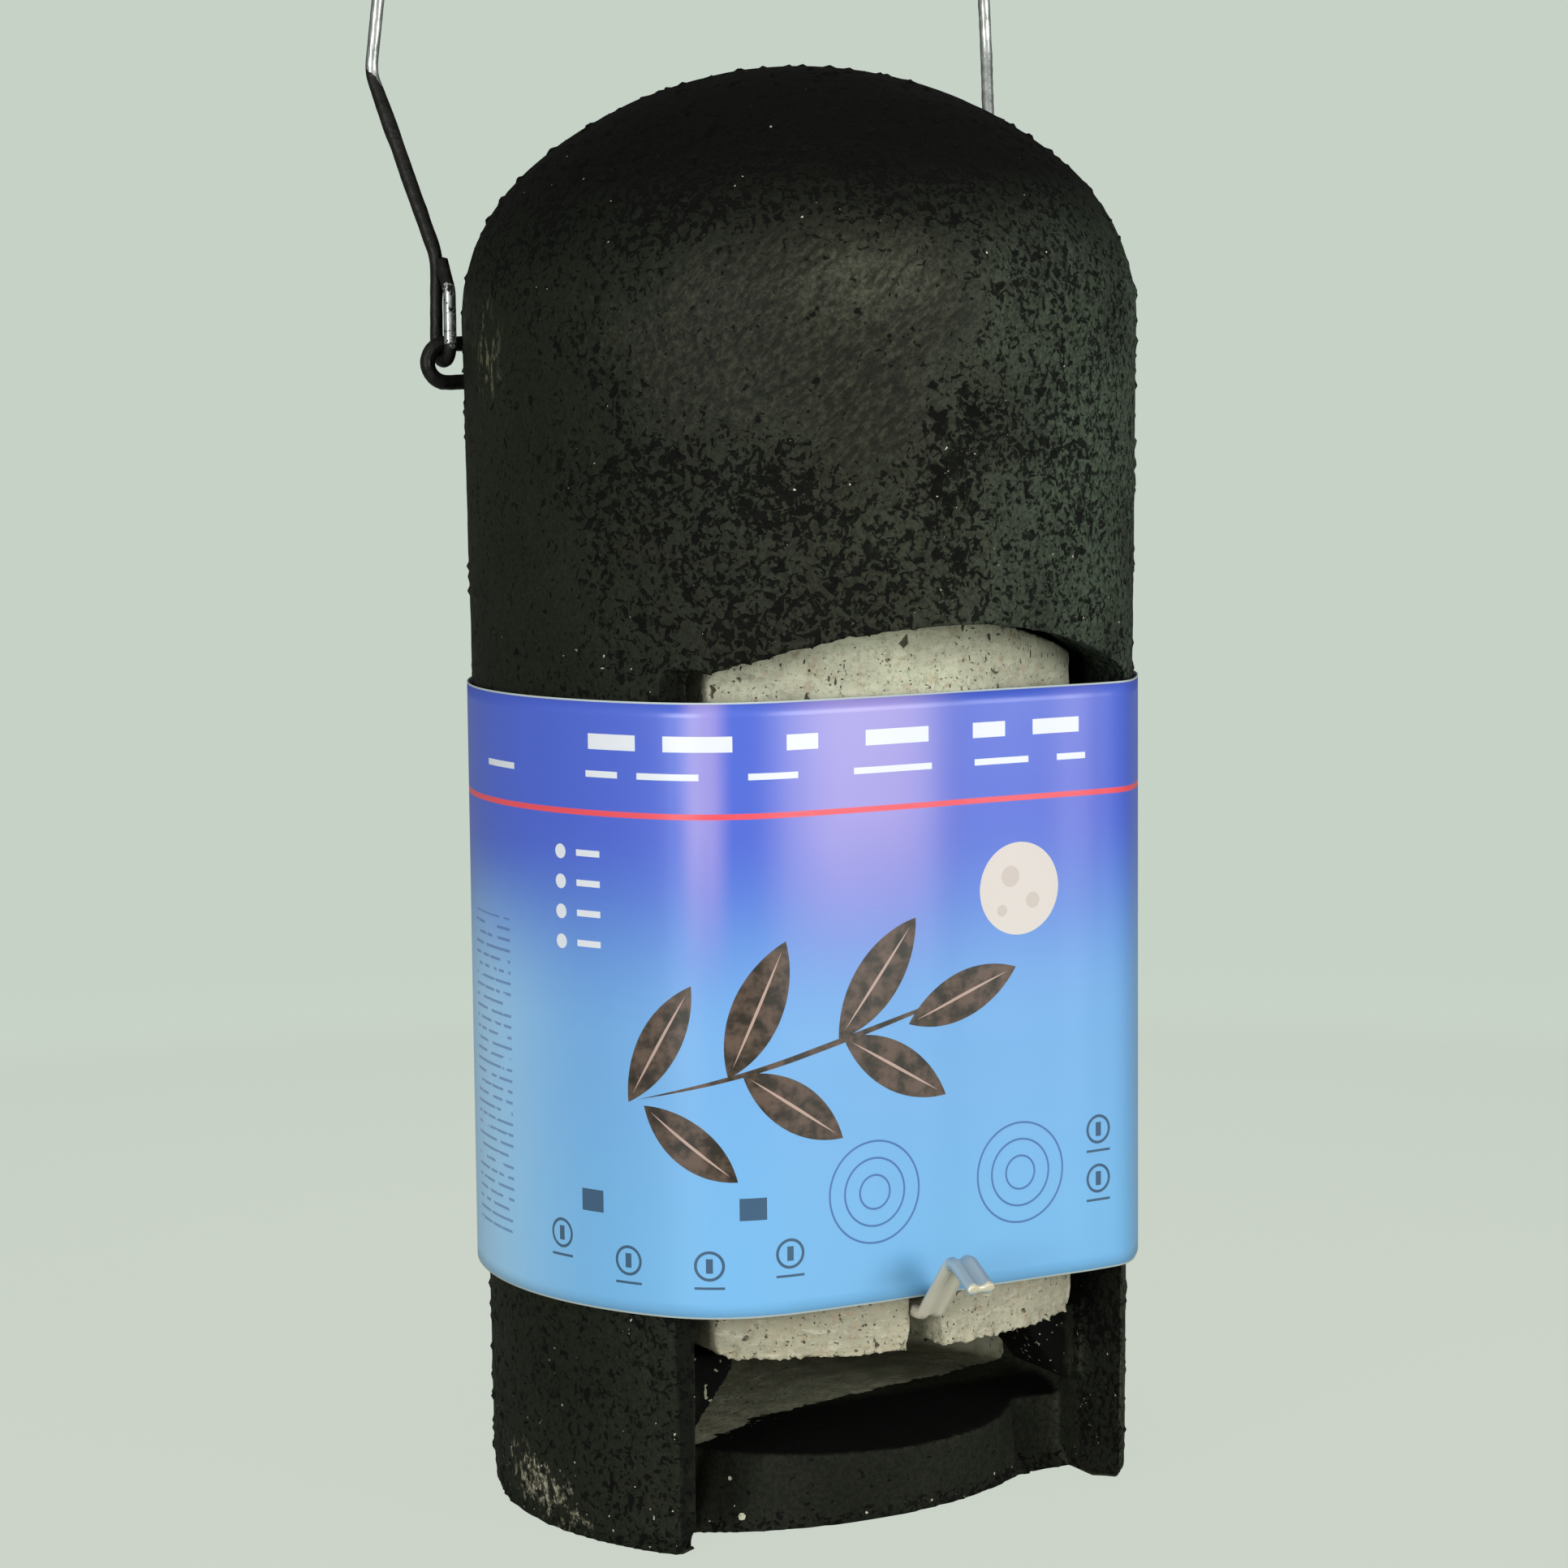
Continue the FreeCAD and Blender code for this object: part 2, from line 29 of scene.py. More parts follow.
MM = 0.001
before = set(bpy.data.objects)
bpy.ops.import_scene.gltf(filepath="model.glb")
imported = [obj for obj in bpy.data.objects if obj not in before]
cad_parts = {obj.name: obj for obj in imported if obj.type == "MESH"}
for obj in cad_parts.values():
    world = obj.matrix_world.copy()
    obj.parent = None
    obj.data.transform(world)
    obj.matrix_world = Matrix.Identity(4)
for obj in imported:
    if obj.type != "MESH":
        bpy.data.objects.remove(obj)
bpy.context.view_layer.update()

# Sizes of the CAD model that the dressed pieces follow
SHOULDER_RADIUS = 82.5 * MM
SHOULDER_Z = 285.4 * MM
DOME_TOP_Z = 347.4 * MM
KNUCKLE_RADIUS = 50.0 * MM
CAVITY_RADIUS = 63.0 * MM
CONE_LOW_Z = 293.4 * MM
CONE_TOP_Z = 327.4 * MM
CAVITY_TOP_RADIUS = 20.0 * MM
FLOOR_TOP_Z = 18.1 * MM
OPENING_LEFT = -55.5 * MM
PAPER_LOW_Z = 57.6 * MM
PAPER_TOP_Z = 199.49 * MM
PAPER_THICKNESS = 0.35 * MM

# Fineness of the dressed meshes: edge of a voxel, and most triangles
CASTING_VOXEL = 1.2 * MM
PANEL_VOXEL = 0.9 * MM
WIRE_VOXEL = 0.5 * MM
STRIP_VOXEL = 0.4 * MM
CASTING_TRIANGLES = 195000
PANEL_TRIANGLES = 60000

# Camera of the photograph
VIEW_TURN = math.radians(28.0)
VIEW_DISTANCE = 0.950
VIEW_HEIGHT = 0.273765
VIEW_YAW = -0.005
VIEW_PITCH = 0.106
VIEW_ROLL = -0.010
FOCAL_PIXELS = 4783.96
FRAME_PIXELS = 1932
SENSOR_MM = 36.0


def linear(red, green, blue):
    """Linear colour from 8-bit screen values."""
    values = []
    for value in (red, green, blue):
        value /= 255.0
        values.append(value / 12.92 if value <= 0.04045 else ((value + 0.055) / 1.055) ** 2.4)
    return (values[0], values[1], values[2], 1.0)


def place_camera():
    heading = VIEW_TURN + VIEW_YAW
    ahead = Vector((math.sin(heading) * math.cos(VIEW_PITCH), math.cos(heading) * math.cos(VIEW_PITCH),
                    -math.sin(VIEW_PITCH)))
    right = ahead.cross(Vector((0, 0, 1))).normalized()
    up = right.cross(ahead)
    across = math.cos(VIEW_ROLL) * right + math.sin(VIEW_ROLL) * up
    above = math.cos(VIEW_ROLL) * up - math.sin(VIEW_ROLL) * right
    data = bpy.data.cameras.new("camera")
    data.sensor_width = SENSOR_MM
    data.lens = FOCAL_PIXELS / FRAME_PIXELS * SENSOR_MM
    data.clip_start = 0.01
    data.clip_end = 50.0
    camera = bpy.data.objects.new("camera", data)
    bpy.context.collection.objects.link(camera)
    turn = Matrix((across, above, -ahead)).transposed().to_4x4()
    spot = Vector((-VIEW_DISTANCE * math.sin(VIEW_TURN), -VIEW_DISTANCE * math.cos(VIEW_TURN), VIEW_HEIGHT))
    camera.matrix_world = Matrix.Translation(spot) @ turn
    bpy.context.scene.camera = camera


# Noise on arrays of points

def hashed(cells, seed):
    """One number from 0 to 1 for each whole-number cell."""
    mixed = cells[:, 0] * 73856093 ^ cells[:, 1] * 19349663 ^ cells[:, 2] * 83492791 ^ (seed * 2654435761)
    mixed = (mixed ^ (mixed >> 13)) * 1274126177 & 0x7FFFFFFF
    mixed = (mixed ^ (mixed >> 15)) * 1911520717 & 0x7FFFFFFF
    return ((mixed ^ (mixed >> 11)) & 0xFFFFF) / float(0xFFFFF)


def noise(points, size, seed):
    """Smooth gradient noise with cells of the given size, about -1 to 1."""
    scaled = points / size
    base = np.floor(scaled).astype(np.int64)
    inside = scaled - base
    fade = inside ** 3 * (inside * (inside * 6 - 15) + 10)
    total = np.zeros(len(points))
    for corner in range(8):
        step = np.array([corner & 1, corner >> 1 & 1, corner >> 2 & 1])
        cells = base + step
        away = inside - step
        value = np.zeros(len(points))
        for axis in range(3):
            value += (hashed(cells, seed * 3 + axis) * 2 - 1) * away[:, axis]
        weight = np.prod(np.where(step == 1, fade, 1 - fade), axis=1)
        total += weight * value
    return total * 1.6


def layered(points, size, octaves, seed):
    """Sum of noises, each half as large and half as strong as the one before."""
    total = np.zeros(len(points))
    strength = 1.0
    for octave in range(octaves):
        total += strength * noise(points, size / 2 ** octave, seed + 17 * octave)
        strength /= 2
    return total


def drifted(points, size, reach, seed):
    """Points moved up to about reach millimetres by noise, so that what is cut there looks less regular."""
    drift = np.stack([noise(points, size, seed + axis) for axis in range(3)], axis=1)
    return points + drift * reach * MM


def in_mm(points):
    """The x, y and z of points in millimetres."""
    return points.T / MM


def step_up(low, high, values):
    """Smooth step from 0 at low to 1 at high."""
    part = np.clip((values - low) / (high - low), 0, 1)
    return part * part * (3 - 2 * part)


# Mesh helpers

def points_of(mesh):
    points = np.empty(len(mesh.vertices) * 3)
    mesh.vertices.foreach_get("co", points)
    return points.reshape(-1, 3)


def normals_of(mesh):
    normals = np.empty(len(mesh.vertices) * 3)
    mesh.vertices.foreach_get("normal", normals)
    return normals.reshape(-1, 3)


def set_points(mesh, points):
    mesh.vertices.foreach_set("co", points.ravel())
    mesh.update()


def set_field(mesh, name, values):
    field = mesh.attributes.new(name, "FLOAT", "POINT")
    field.data.foreach_set("value", values.astype(np.float32))


def new_piece(name, mesh, body):
    piece = bpy.data.objects.new(name, mesh)
    bpy.context.collection.objects.link(piece)
    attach(piece, body)
    return piece


def applied(piece, modifiers):
    """Applies modifiers to a piece's mesh, each given as its kind and its settings."""
    for kind, settings in modifiers:
        modifier = piece.modifiers.new(kind.lower(), kind)
        for key, value in settings.items():
            setattr(modifier, key, value)
    bpy.context.view_layer.update()
    done = bpy.data.meshes.new_from_object(piece.evaluated_get(bpy.context.evaluated_depsgraph_get()))
    piece.modifiers.clear()
    piece.data = done


def recast(node, name, voxel, body):
    """Copy of a CAD node as an even mesh, to be dented and worn."""
    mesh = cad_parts[node].data.copy()
    mesh.materials.clear()
    piece = new_piece(name, mesh, body)
    applied(piece, [("REMESH", {"mode": "VOXEL", "voxel_size": voxel, "use_smooth_shade": True})])
    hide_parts(node)
    return piece


def thinned(piece, triangles):
    """Brings a piece of four-sided faces down to a number of triangles, where it has more."""
    ratio = min(1.0, triangles / (2 * len(piece.data.polygons)))
    applied(piece, [("DECIMATE", {"ratio": ratio})])
    piece.data.polygons.foreach_set("use_smooth", [True] * len(piece.data.polygons))


# Material helpers

class Graph:
    """A material's nodes, added and linked in one call each."""

    def __init__(self, name):
        self.material = bpy.data.materials.new(name)
        self.material.use_nodes = True
        self.tree = self.material.node_tree
        self.tree.nodes.clear()
        self.shader = self.add("ShaderNodeBsdfPrincipled")
        self.output = self.add("ShaderNodeOutputMaterial")
        self.tree.links.new(self.shader.outputs[0], self.output.inputs[0])
        self.place = self.add("ShaderNodeTexCoord").outputs["Object"]

    def add(self, kind, inputs=None, **settings):
        node = self.tree.nodes.new(kind)
        for key, value in settings.items():
            setattr(node, key, value)
        for key, value in (inputs or {}).items():
            if isinstance(value, bpy.types.NodeSocket):
                self.tree.links.new(value, node.inputs[key])
            else:
                node.inputs[key].default_value = value
        return node

    def axes(self, place=None):
        """The coordinates of a place, or those in the object's own space."""
        return self.add("ShaderNodeSeparateXYZ", {0: place or self.place}).outputs

    def calc(self, operation, first, second=0.0, third=0.0, clamp=False):
        inputs = {0: first, 1: second, 2: third}
        return self.add("ShaderNodeMath", inputs, operation=operation, use_clamp=clamp).outputs[0]

    def times(self, first, second):
        return self.calc("MULTIPLY", first, second)

    def most(self, first, second):
        return self.calc("MAXIMUM", first, second)

    def field(self, name):
        return self.add("ShaderNodeAttribute", attribute_name=name).outputs["Fac"]

    def noise(self, size, detail=3.0, roughness=0.55, place=None, stretch=None, distortion=0.0):
        """Noise with blotches of about the given size in metres, from 0 to 1."""
        place = place or self.place
        if stretch:
            place = self.add("ShaderNodeMapping", {"Vector": place, "Scale": stretch}).outputs[0]
        inputs = {"Vector": place, "Scale": 0.5 / size, "Detail": detail, "Roughness": roughness,
                  "Distortion": distortion}
        return self.add("ShaderNodeTexNoise", inputs).outputs["Fac"]

    def turned(self, angles):
        """Object coordinates turned by angles in radians about X, Y and Z."""
        return self.add("ShaderNodeMapping", {"Vector": self.place, "Rotation": angles}).outputs[0]

    def ramp(self, value, low, high):
        """Smooth step of a value from 0 at low to 1 at high. Low may be above high."""
        inputs = {"Value": value, "From Min": low, "From Max": high}
        node = self.add("ShaderNodeMapRange", inputs, interpolation_type="SMOOTHSTEP", clamp=True)
        return node.outputs[0]

    def mix(self, amount, first, second):
        node = self.add("ShaderNodeMix", data_type="RGBA")
        for index, value in ((0, amount), (6, first), (7, second)):
            if isinstance(value, bpy.types.NodeSocket):
                self.tree.links.new(value, node.inputs[index])
            else:
                node.inputs[index].default_value = value
        return node.outputs[2]

    def coat(self, color, roughness):
        for name, value in (("Base Color", color), ("Roughness", roughness)):
            if isinstance(value, bpy.types.NodeSocket):
                self.tree.links.new(value, self.shader.inputs[name])
            else:
                self.shader.inputs[name].default_value = value

    def bump(self, height, depth):
        """Bump whose height of 1 stands for depth in metres."""
        node = self.add("ShaderNodeBump", {"Height": height, "Distance": depth, "Strength": 1.0})
        self.tree.links.new(node.outputs[0], self.shader.inputs["Normal"])


# The stage

BACKDROP = linear(199, 210, 199)
NEAR_FLOOR = linear(207, 215, 204)
STAGE_RADIUS = 6.0
WORLD_LIGHT = 0.95           # from the side of the camera, at the horizon
WORLD_GLOOM = 0.10           # from behind and above
FLOOR_GLOW = 0.93            # least share of the floor's own brightness, which leaves the rest to the shadow
LAMP_TARGET = (0, 0, 0.17)
LAMP_SIZE = (1.1, 0.9)


def make_stage():
    """Pale floor that fades into the background colour."""
    mesh = bpy.data.meshes.new("floor")
    shape = bmesh.new()
    bmesh.ops.create_circle(shape, cap_ends=True, radius=STAGE_RADIUS, segments=64)
    shape.to_mesh(mesh)
    shape.free()
    floor = bpy.data.objects.new("floor", mesh)
    bpy.context.collection.objects.link(floor)
    graph = Graph("floor_paper")
    graph.coat(linear(208, 216, 204), 0.9)
    graph.shader.inputs["Specular IOR Level"].default_value = 0.1
    axes = graph.axes()
    squares = [graph.calc("POWER", axes[0], 2.0), graph.calc("POWER", axes[1], 2.0)]
    away = graph.calc("SQRT", graph.calc("ADD", *squares))
    path = graph.add("ShaderNodeLightPath")
    seen = path.outputs["Is Camera Ray"]
    shade = graph.mix(graph.ramp(away, 0.15, 0.95), NEAR_FLOOR, BACKDROP)
    glow = graph.add("ShaderNodeEmission", {"Color": shade, "Strength": 1.0})
    amount = graph.most(graph.ramp(away, 0.12, 0.75), FLOOR_GLOW)
    amount = graph.times(amount, seen)
    blend = graph.add("ShaderNodeMixShader", {0: amount, 1: graph.shader.outputs[0], 2: glow.outputs[0]})
    graph.tree.links.new(blend.outputs[0], graph.output.inputs[0])
    mesh.materials.append(graph.material)


def make_world():
    """World that lights mostly from the front and shows the backdrop's colour to the camera."""
    world = bpy.data.worlds.new("studio")
    bpy.context.scene.world = world
    world.use_nodes = True
    tree = world.node_tree
    tree.nodes.clear()
    path = tree.nodes.new("ShaderNodeLightPath")
    seen = tree.nodes.new("ShaderNodeMath")
    seen.operation = "MAXIMUM"
    tree.links.new(path.outputs["Is Camera Ray"], seen.inputs[0])
    tree.links.new(path.outputs["Is Transmission Ray"], seen.inputs[1])
    lit = tree.nodes.new("ShaderNodeBackground")
    lit.inputs["Color"].default_value = (1.0, 1.0, 1.0, 1.0)
    tree.links.new(world_strength(tree), lit.inputs["Strength"])
    shown = tree.nodes.new("ShaderNodeBackground")
    shown.inputs["Color"].default_value = BACKDROP
    shown.inputs["Strength"].default_value = 1.0
    blend = tree.nodes.new("ShaderNodeMixShader")
    tree.links.new(seen.outputs[0], blend.inputs[0])
    tree.links.new(lit.outputs[0], blend.inputs[1])
    tree.links.new(shown.outputs[0], blend.inputs[2])
    output = tree.nodes.new("ShaderNodeOutputWorld")
    tree.links.new(blend.outputs[0], output.inputs[0])


def world_strength(tree):
    """Light of the studio by direction: strong from the front at the horizon, weak from behind and above."""
    place = tree.nodes.new("ShaderNodeTexCoord").outputs["Generated"]
    facing = tree.nodes.new("ShaderNodeVectorMath")
    facing.operation = "DOT_PRODUCT"
    tree.links.new(place, facing.inputs[0])
    facing.inputs[1].default_value = (-math.sin(VIEW_TURN), -math.cos(VIEW_TURN), -0.55)
    strength = tree.nodes.new("ShaderNodeMapRange")
    strength.interpolation_type = "SMOOTHSTEP"
    tree.links.new(facing.outputs["Value"], strength.inputs["Value"])
    strength.inputs["From Min"].default_value = -0.75
    strength.inputs["From Max"].default_value = 0.95
    strength.inputs["To Min"].default_value = WORLD_GLOOM
    strength.inputs["To Max"].default_value = WORLD_LIGHT
    return strength.outputs[0]


def make_lamp(name, spot, watts):
    data = bpy.data.lights.new(name, "AREA")
    data.shape = "RECTANGLE"
    data.size, data.size_y = LAMP_SIZE
    data.energy = watts
    lamp = bpy.data.objects.new(name, data)
    bpy.context.collection.objects.link(lamp)
    lamp.location = spot
    lamp.rotation_euler = (Vector(LAMP_TARGET) - Vector(spot)).to_track_quat("-Z", "Y").to_euler()


# The casting

# Spots on it: degrees from the front, height in millimetres, and half the spot's width and height
# the first spot is a painted sheen on the trowelled patch
PAINTED_SHEEN_SPOT = (-17, 300, 11, 13)
EYE_SCRAPE_SPOT = (-92, 279, 6, 12)
SCRATCH_SPOT = (-69, 210, 5, 9)
BROKEN_FOOT_SPOT = (-88, 0, 24, 60)
TONGUE_SPOT = (-17, 270, 13, 24)

# The same with a strength before them: where there are more pits, and where they are coarse
DENSE_SPOTS = [(0.30, -28, 236, 24, 26), (0.35, -66, 270, 9, 12), (0.25, -57, 303, 10, 9)]
COARSE_SPOTS = [(1.0, -4.5, 251, 4.5, 17), (0.8, 1, 262, 6, 8), (0.7, -2, 231, 4, 6)]

# Middles of the trowelled patch and of the scrape at the foot: degrees and millimetres
PATCH_ANGLE, PATCH_Z = -29, 283
SCRAPE_ANGLE, SCRAPE_Z = -84, 9

# The line on the floor behind which it is bare: x and y in millimetres
BARE_LINE = [(-64, -31), (-45, -24), (-37, -21), (-29, -15.5), (-16, -8.7), (3.7, -3.8), (19, 0.2),
             (39.6, 3.6), (54.3, 7.7), (64, 10)]

# Pale chips on the floor's front: place and radius in millimetres
FLOOR_CHIPS = [((-39.0, -38.9, 3.6), 0.95), ((-39.8, -34.4, 11.9), 0.5), ((-37.2, -38.6, 6.9), 0.35),
               ((-40.0, -37.3, 5.8), 0.3), ((-9.5, -46.9, 2.2), 0.4)]

# The trowel strokes run up to the right at this angle, in radians, and are this much longer than wide
STROKE_ANGLE = 0.70
STROKE_STRETCH = 3.2
STROKE_COS, STROKE_SIN = math.cos(STROKE_ANGLE), math.sin(STROKE_ANGLE)
STROKE_TURN = (np.array([[STROKE_COS, 0, -STROKE_SIN], [0, 1, 0], [STROKE_SIN, 0, STROKE_COS]])
               @ np.diag([1, 1, STROKE_STRETCH]))

DOME_REACH = 1.0 * MM        # points this close to the true dome are on its outside
FOOT_HEIGHT = 12 * MM        # up to here the wall gives way where the foot ends short


def front_angle(points):
    """Degrees round the body from the front, positive towards +X."""
    return np.degrees(np.arctan2(points[:, 0], -points[:, 1]))


def blob(angle, z, middle_angle, middle_z, half_angle, half_z):
    """Soft oval spot on the body, 1 in its middle. Angles in degrees, heights in millimetres."""
    return np.exp(-((angle - middle_angle) / half_angle) ** 2 - ((z - middle_z) / half_z) ** 2)


def round_dome(points):
    """Moves the dome's flats out to the true knuckle and crown arcs."""
    knuckle_x = SHOULDER_RADIUS - KNUCKLE_RADIUS
    rise = DOME_TOP_Z - SHOULDER_Z
    crown_radius = (knuckle_x ** 2 + rise ** 2 - KNUCKLE_RADIUS ** 2) / (2 * (rise - KNUCKLE_RADIUS))
    crown_z = DOME_TOP_Z - crown_radius
    across = np.hypot(points[:, 0], points[:, 1])
    up = points[:, 2]
    meet = math.atan2(SHOULDER_Z - crown_z, knuckle_x)
    on_crown = np.arctan2(up - crown_z, across) > meet
    middle_x = np.where(on_crown, 0, knuckle_x)
    middle_z = np.where(on_crown, crown_z, SHOULDER_Z)
    radius = np.where(on_crown, crown_radius, KNUCKLE_RADIUS)
    away = np.hypot(across - middle_x, up - middle_z)
    outside = (up > SHOULDER_Z) & (np.abs(away - radius) < DOME_REACH)
    stretch = np.where(outside, radius / np.maximum(away, MM), 1.0)
    new_across = middle_x + (across - middle_x) * stretch
    grown = np.where(outside, new_across / np.maximum(across, 0.01 * MM), 1.0)
    rounded = points.copy()
    rounded[:, 0] *= grown
    rounded[:, 1] *= grown
    rounded[:, 2] = np.where(outside, middle_z + (up - middle_z) * stretch, up)
    return rounded


def casting_fields(points):
    """Angle and height, and how far the outside is trowelled smooth, densely pitted and coarsely broken."""
    angle = front_angle(points)
    z = points[:, 2] / MM
    wander = layered(points, 22 * MM, 3, 5)
    # the trowelled patch lies at the shoulder, left of the front, and reaches down in a tongue on its right
    turn = angle - PATCH_ANGLE
    tilt = z - PATCH_Z - 0.10 * turn
    patch = step_up(-0.10, 0.45, 1.0 - np.hypot(turn / 37, tilt / 26) + 0.22 * wander)
    patch = np.maximum(patch, step_up(0.2, 0.7, blob(angle, z, *TONGUE_SPOT) + 0.15 * wander))
    # the left side is smoother, and the left cheek a little
    smooth_left = step_up(-56, -74, angle + 9 * wander) * step_up(302, 280, z + 8 * wander)
    smooth_left = smooth_left * step_up(-185, -150, angle) * (0.35 + 0.65 * step_up(62, 100, z))
    cheek = step_up(62, 50, z) * step_up(-40, -46, angle)
    dense = 0.76 + 0.34 * wander
    for strength, *spot in DENSE_SPOTS:
        dense = dense + strength * blob(angle, z, *spot)
    dense = dense - 0.25 * step_up(318, 340, z)
    dense = dense * (1 - 0.93 * patch) * (1 - 0.66 * smooth_left) * (1 - 0.10 * cheek)
    cluster = np.zeros(len(points))
    for strength, *spot in COARSE_SPOTS:
        cluster = np.maximum(cluster, strength * blob(angle, z, *spot))
    return angle, z, patch, np.clip(dense + 0.3 * cluster, 0, 1.2), cluster


def room_radius(z):
    """Radius of the cavity at heights in millimetres."""
    wide = CAVITY_RADIUS / MM
    return np.interp(z, [0, CONE_LOW_Z / MM, CONE_TOP_Z / MM], [wide, wide, CAVITY_TOP_RADIUS / MM])


def bare_distance(points):
    """Millimetres into the unpainted inside, negative where the paint reaches."""
    x, y, z = in_mm(points)
    behind = y - np.interp(x, *zip(*BARE_LINE))
    inside = np.minimum(room_radius(z) + 0.9 - np.hypot(x, y), CONE_TOP_Z / MM + 0.9 - z)
    above = z - (FLOOR_TOP_Z / MM - 1.6)
    left_slope = step_up(-48, -51, x) * step_up(21, 19, z) * step_up(-12, -15, y)
    return np.minimum(np.minimum(behind, inside), above) - 12 * left_slope


def casting_depth(points, normals, fields):
    """Millimetres that each point is worn in by, its pits, and masks of the inside and the floor's front."""
    angle, z, patch, dense, cluster = fields
    x, y = in_mm(points)[:2]
    radius = np.hypot(x, y)
    inside = step_up(4, 2.5, radius - room_radius(z)) * step_up(331, 329, z) * step_up(2, 6, z)
    warp = drifted(points, 4 * MM, 1.6, 21)

    # open pits left by the wood chips, and small grains that stand out
    pits = step_up(0.46, 0.80, layered(warp, 3.2 * MM, 2, 31) + 0.45 * (dense - 0.62))
    pits = np.maximum(pits, step_up(0.05, 0.40, noise(warp, 3.2 * MM, 37)) * cluster)
    grains = step_up(0.50, 0.80, noise(points, 2.4 * MM, 39))
    lumps = 0.5 + 0.5 * layered(points, 9 * MM, 3, 41)
    swell = 0.5 + 0.5 * noise(points, 42 * MM, 43)
    strokes = layered(points @ STROKE_TURN, 5 * MM, 2, 45)
    # the surface starts 0.55 mm in, which leaves room for grains within the CAD model's outline
    depth = 0.55 + 0.34 * lumps * (0.30 + 0.70 * np.clip(dense, 0, 1)) + 0.25 * swell
    depth = depth + 0.10 * patch * strokes + pits * (0.65 + 0.9 * cluster) - 0.60 * grains

    # the floor's front is smoother
    floor_front = step_up(-20, -26, y) * step_up(56, 54, np.abs(x))
    floor_front = floor_front * step_up(20, 17, z) * step_up(60, 56, radius)
    depth = depth * (1 - 0.75 * floor_front)

    # the foot: jagged below the left cheek, with a corner broken off
    foot = step_up(9, 0, z) * step_up(68, 76, radius) * (1 - 0.8 * step_up(-60, -20, angle))
    worn = 0.5 + 0.5 * layered(points, 6 * MM, 3, 47)
    depth = depth + foot * (0.35 + 2.4 * blob(angle, z, *BROKEN_FOOT_SPOT)) * worn
    depth = depth * (1 - 0.80 * inside)
    flat_bottom = step_up(0.9, 0.3, z) * step_up(-0.75, -0.95, normals[:, 2])
    corner = step_up(7, 2, np.hypot(x - OPENING_LEFT / MM, np.hypot(y + 52, z)))
    depth = depth * (1 - flat_bottom) + corner * (1.2 + 1.2 * worn)
    return np.maximum(depth, 0), pits * (1 - inside), inside, floor_front


def opening_shade_masks(points, normals):
    """Masks of the painted shade on the floor, the jambs, the left flat and the ledges inside the opening,
    and of the pale crumbs there.
    """
    x, y, z = in_mm(points)
    radius = np.hypot(x, y)
    floor_top = step_up(0.5, 0.9, normals[:, 2]) * step_up(24, 21, z) * step_up(64, 62, radius)
    jambs = step_up(0.75, 0.92, np.abs(normals[:, 0])) * step_up(60, 58.5, np.abs(x)) * step_up(-22, -24, y)
    flat = step_up(-0.80, -0.92, normals[:, 1]) * step_up(-53, -54, x)
    flat = flat * step_up(210, 204, z) * step_up(-46, -48, y)
    ledges = step_up(66, 64, radius) * step_up(52, 48, z) * step_up(20, 24, z) * step_up(36, 38, np.abs(x))
    painted_shade = np.maximum(np.maximum(floor_top, 0.6 * jambs), np.maximum(0.75 * flat, ledges))
    edge = bare_distance(points)
    crumbs = np.maximum(ledges, floor_top * step_up(-7, -3, edge))
    return painted_shade * step_up(-2, -8, y), crumbs * step_up(-8, -14, y)


def lifted_foot(points):
    """Height in metres by which the foot ends short of the ground below the front of the right cheek."""
    x, y = in_mm(points)[:2]
    under = step_up(44, 57, x) * np.clip((-40 - y) / 14, 0, 1)
    return under * (3.2 + 0.5 * noise(points, 5 * MM, 61)) * MM


def make_housing():
    voxel = CASTING_VOXEL
    piece = recast("housing", "casting", voxel, "box")
    mesh = piece.data
    points = points_of(mesh)
    normals = normals_of(mesh)
    fields = casting_fields(points)
    angle, z, patch, dense, cluster = fields
    depth, pits, inside, floor_front = casting_depth(points, normals, fields)
    points = round_dome(points) - normals * (depth * MM)[:, None]
    height = points[:, 2]
    lifted = height + lifted_foot(points) * (1 - height / FOOT_HEIGHT)
    points[:, 2] = np.maximum(np.where(height < FOOT_HEIGHT, lifted, height), 0)
    set_points(mesh, points)
    radius = np.hypot(points[:, 0], points[:, 1]) / MM
    set_field(mesh, "pit", pits)
    set_field(mesh, "dense", dense * (1 - inside))
    set_field(mesh, "cluster", cluster * (1 - inside))
    set_field(mesh, "patch", patch)
    # painted sheen: a brighter spot on the trowelled patch
    set_field(mesh, "painted_sheen", blob(angle, z, *PAINTED_SHEEN_SPOT))
    turn = angle - SCRAPE_ANGLE
    slant = z - SCRAPE_Z + 0.30 * turn
    scrape = np.exp(-(slant / 6.5) ** 2 - (turn / 12) ** 2)
    set_field(mesh, "scuff", scrape * step_up(74, 78, radius))
    set_field(mesh, "eye_scrape", blob(angle, z, *EYE_SCRAPE_SPOT))
    # painted shade inside the opening
    painted_shade, crumbs = opening_shade_masks(points, normals)
    # the floor's front takes a share of the painted shade as well
    set_field(mesh, "painted_shade", np.maximum(painted_shade, 0.55 * floor_front))
    set_field(mesh, "crumbs", crumbs)
    set_field(mesh, "scratch", blob(angle, z, *SCRATCH_SPOT))
    set_field(mesh, "bare", bare_distance(points))
    thinned(piece, CASTING_TRIANGLES)
    piece.data.materials.append(casting_material())


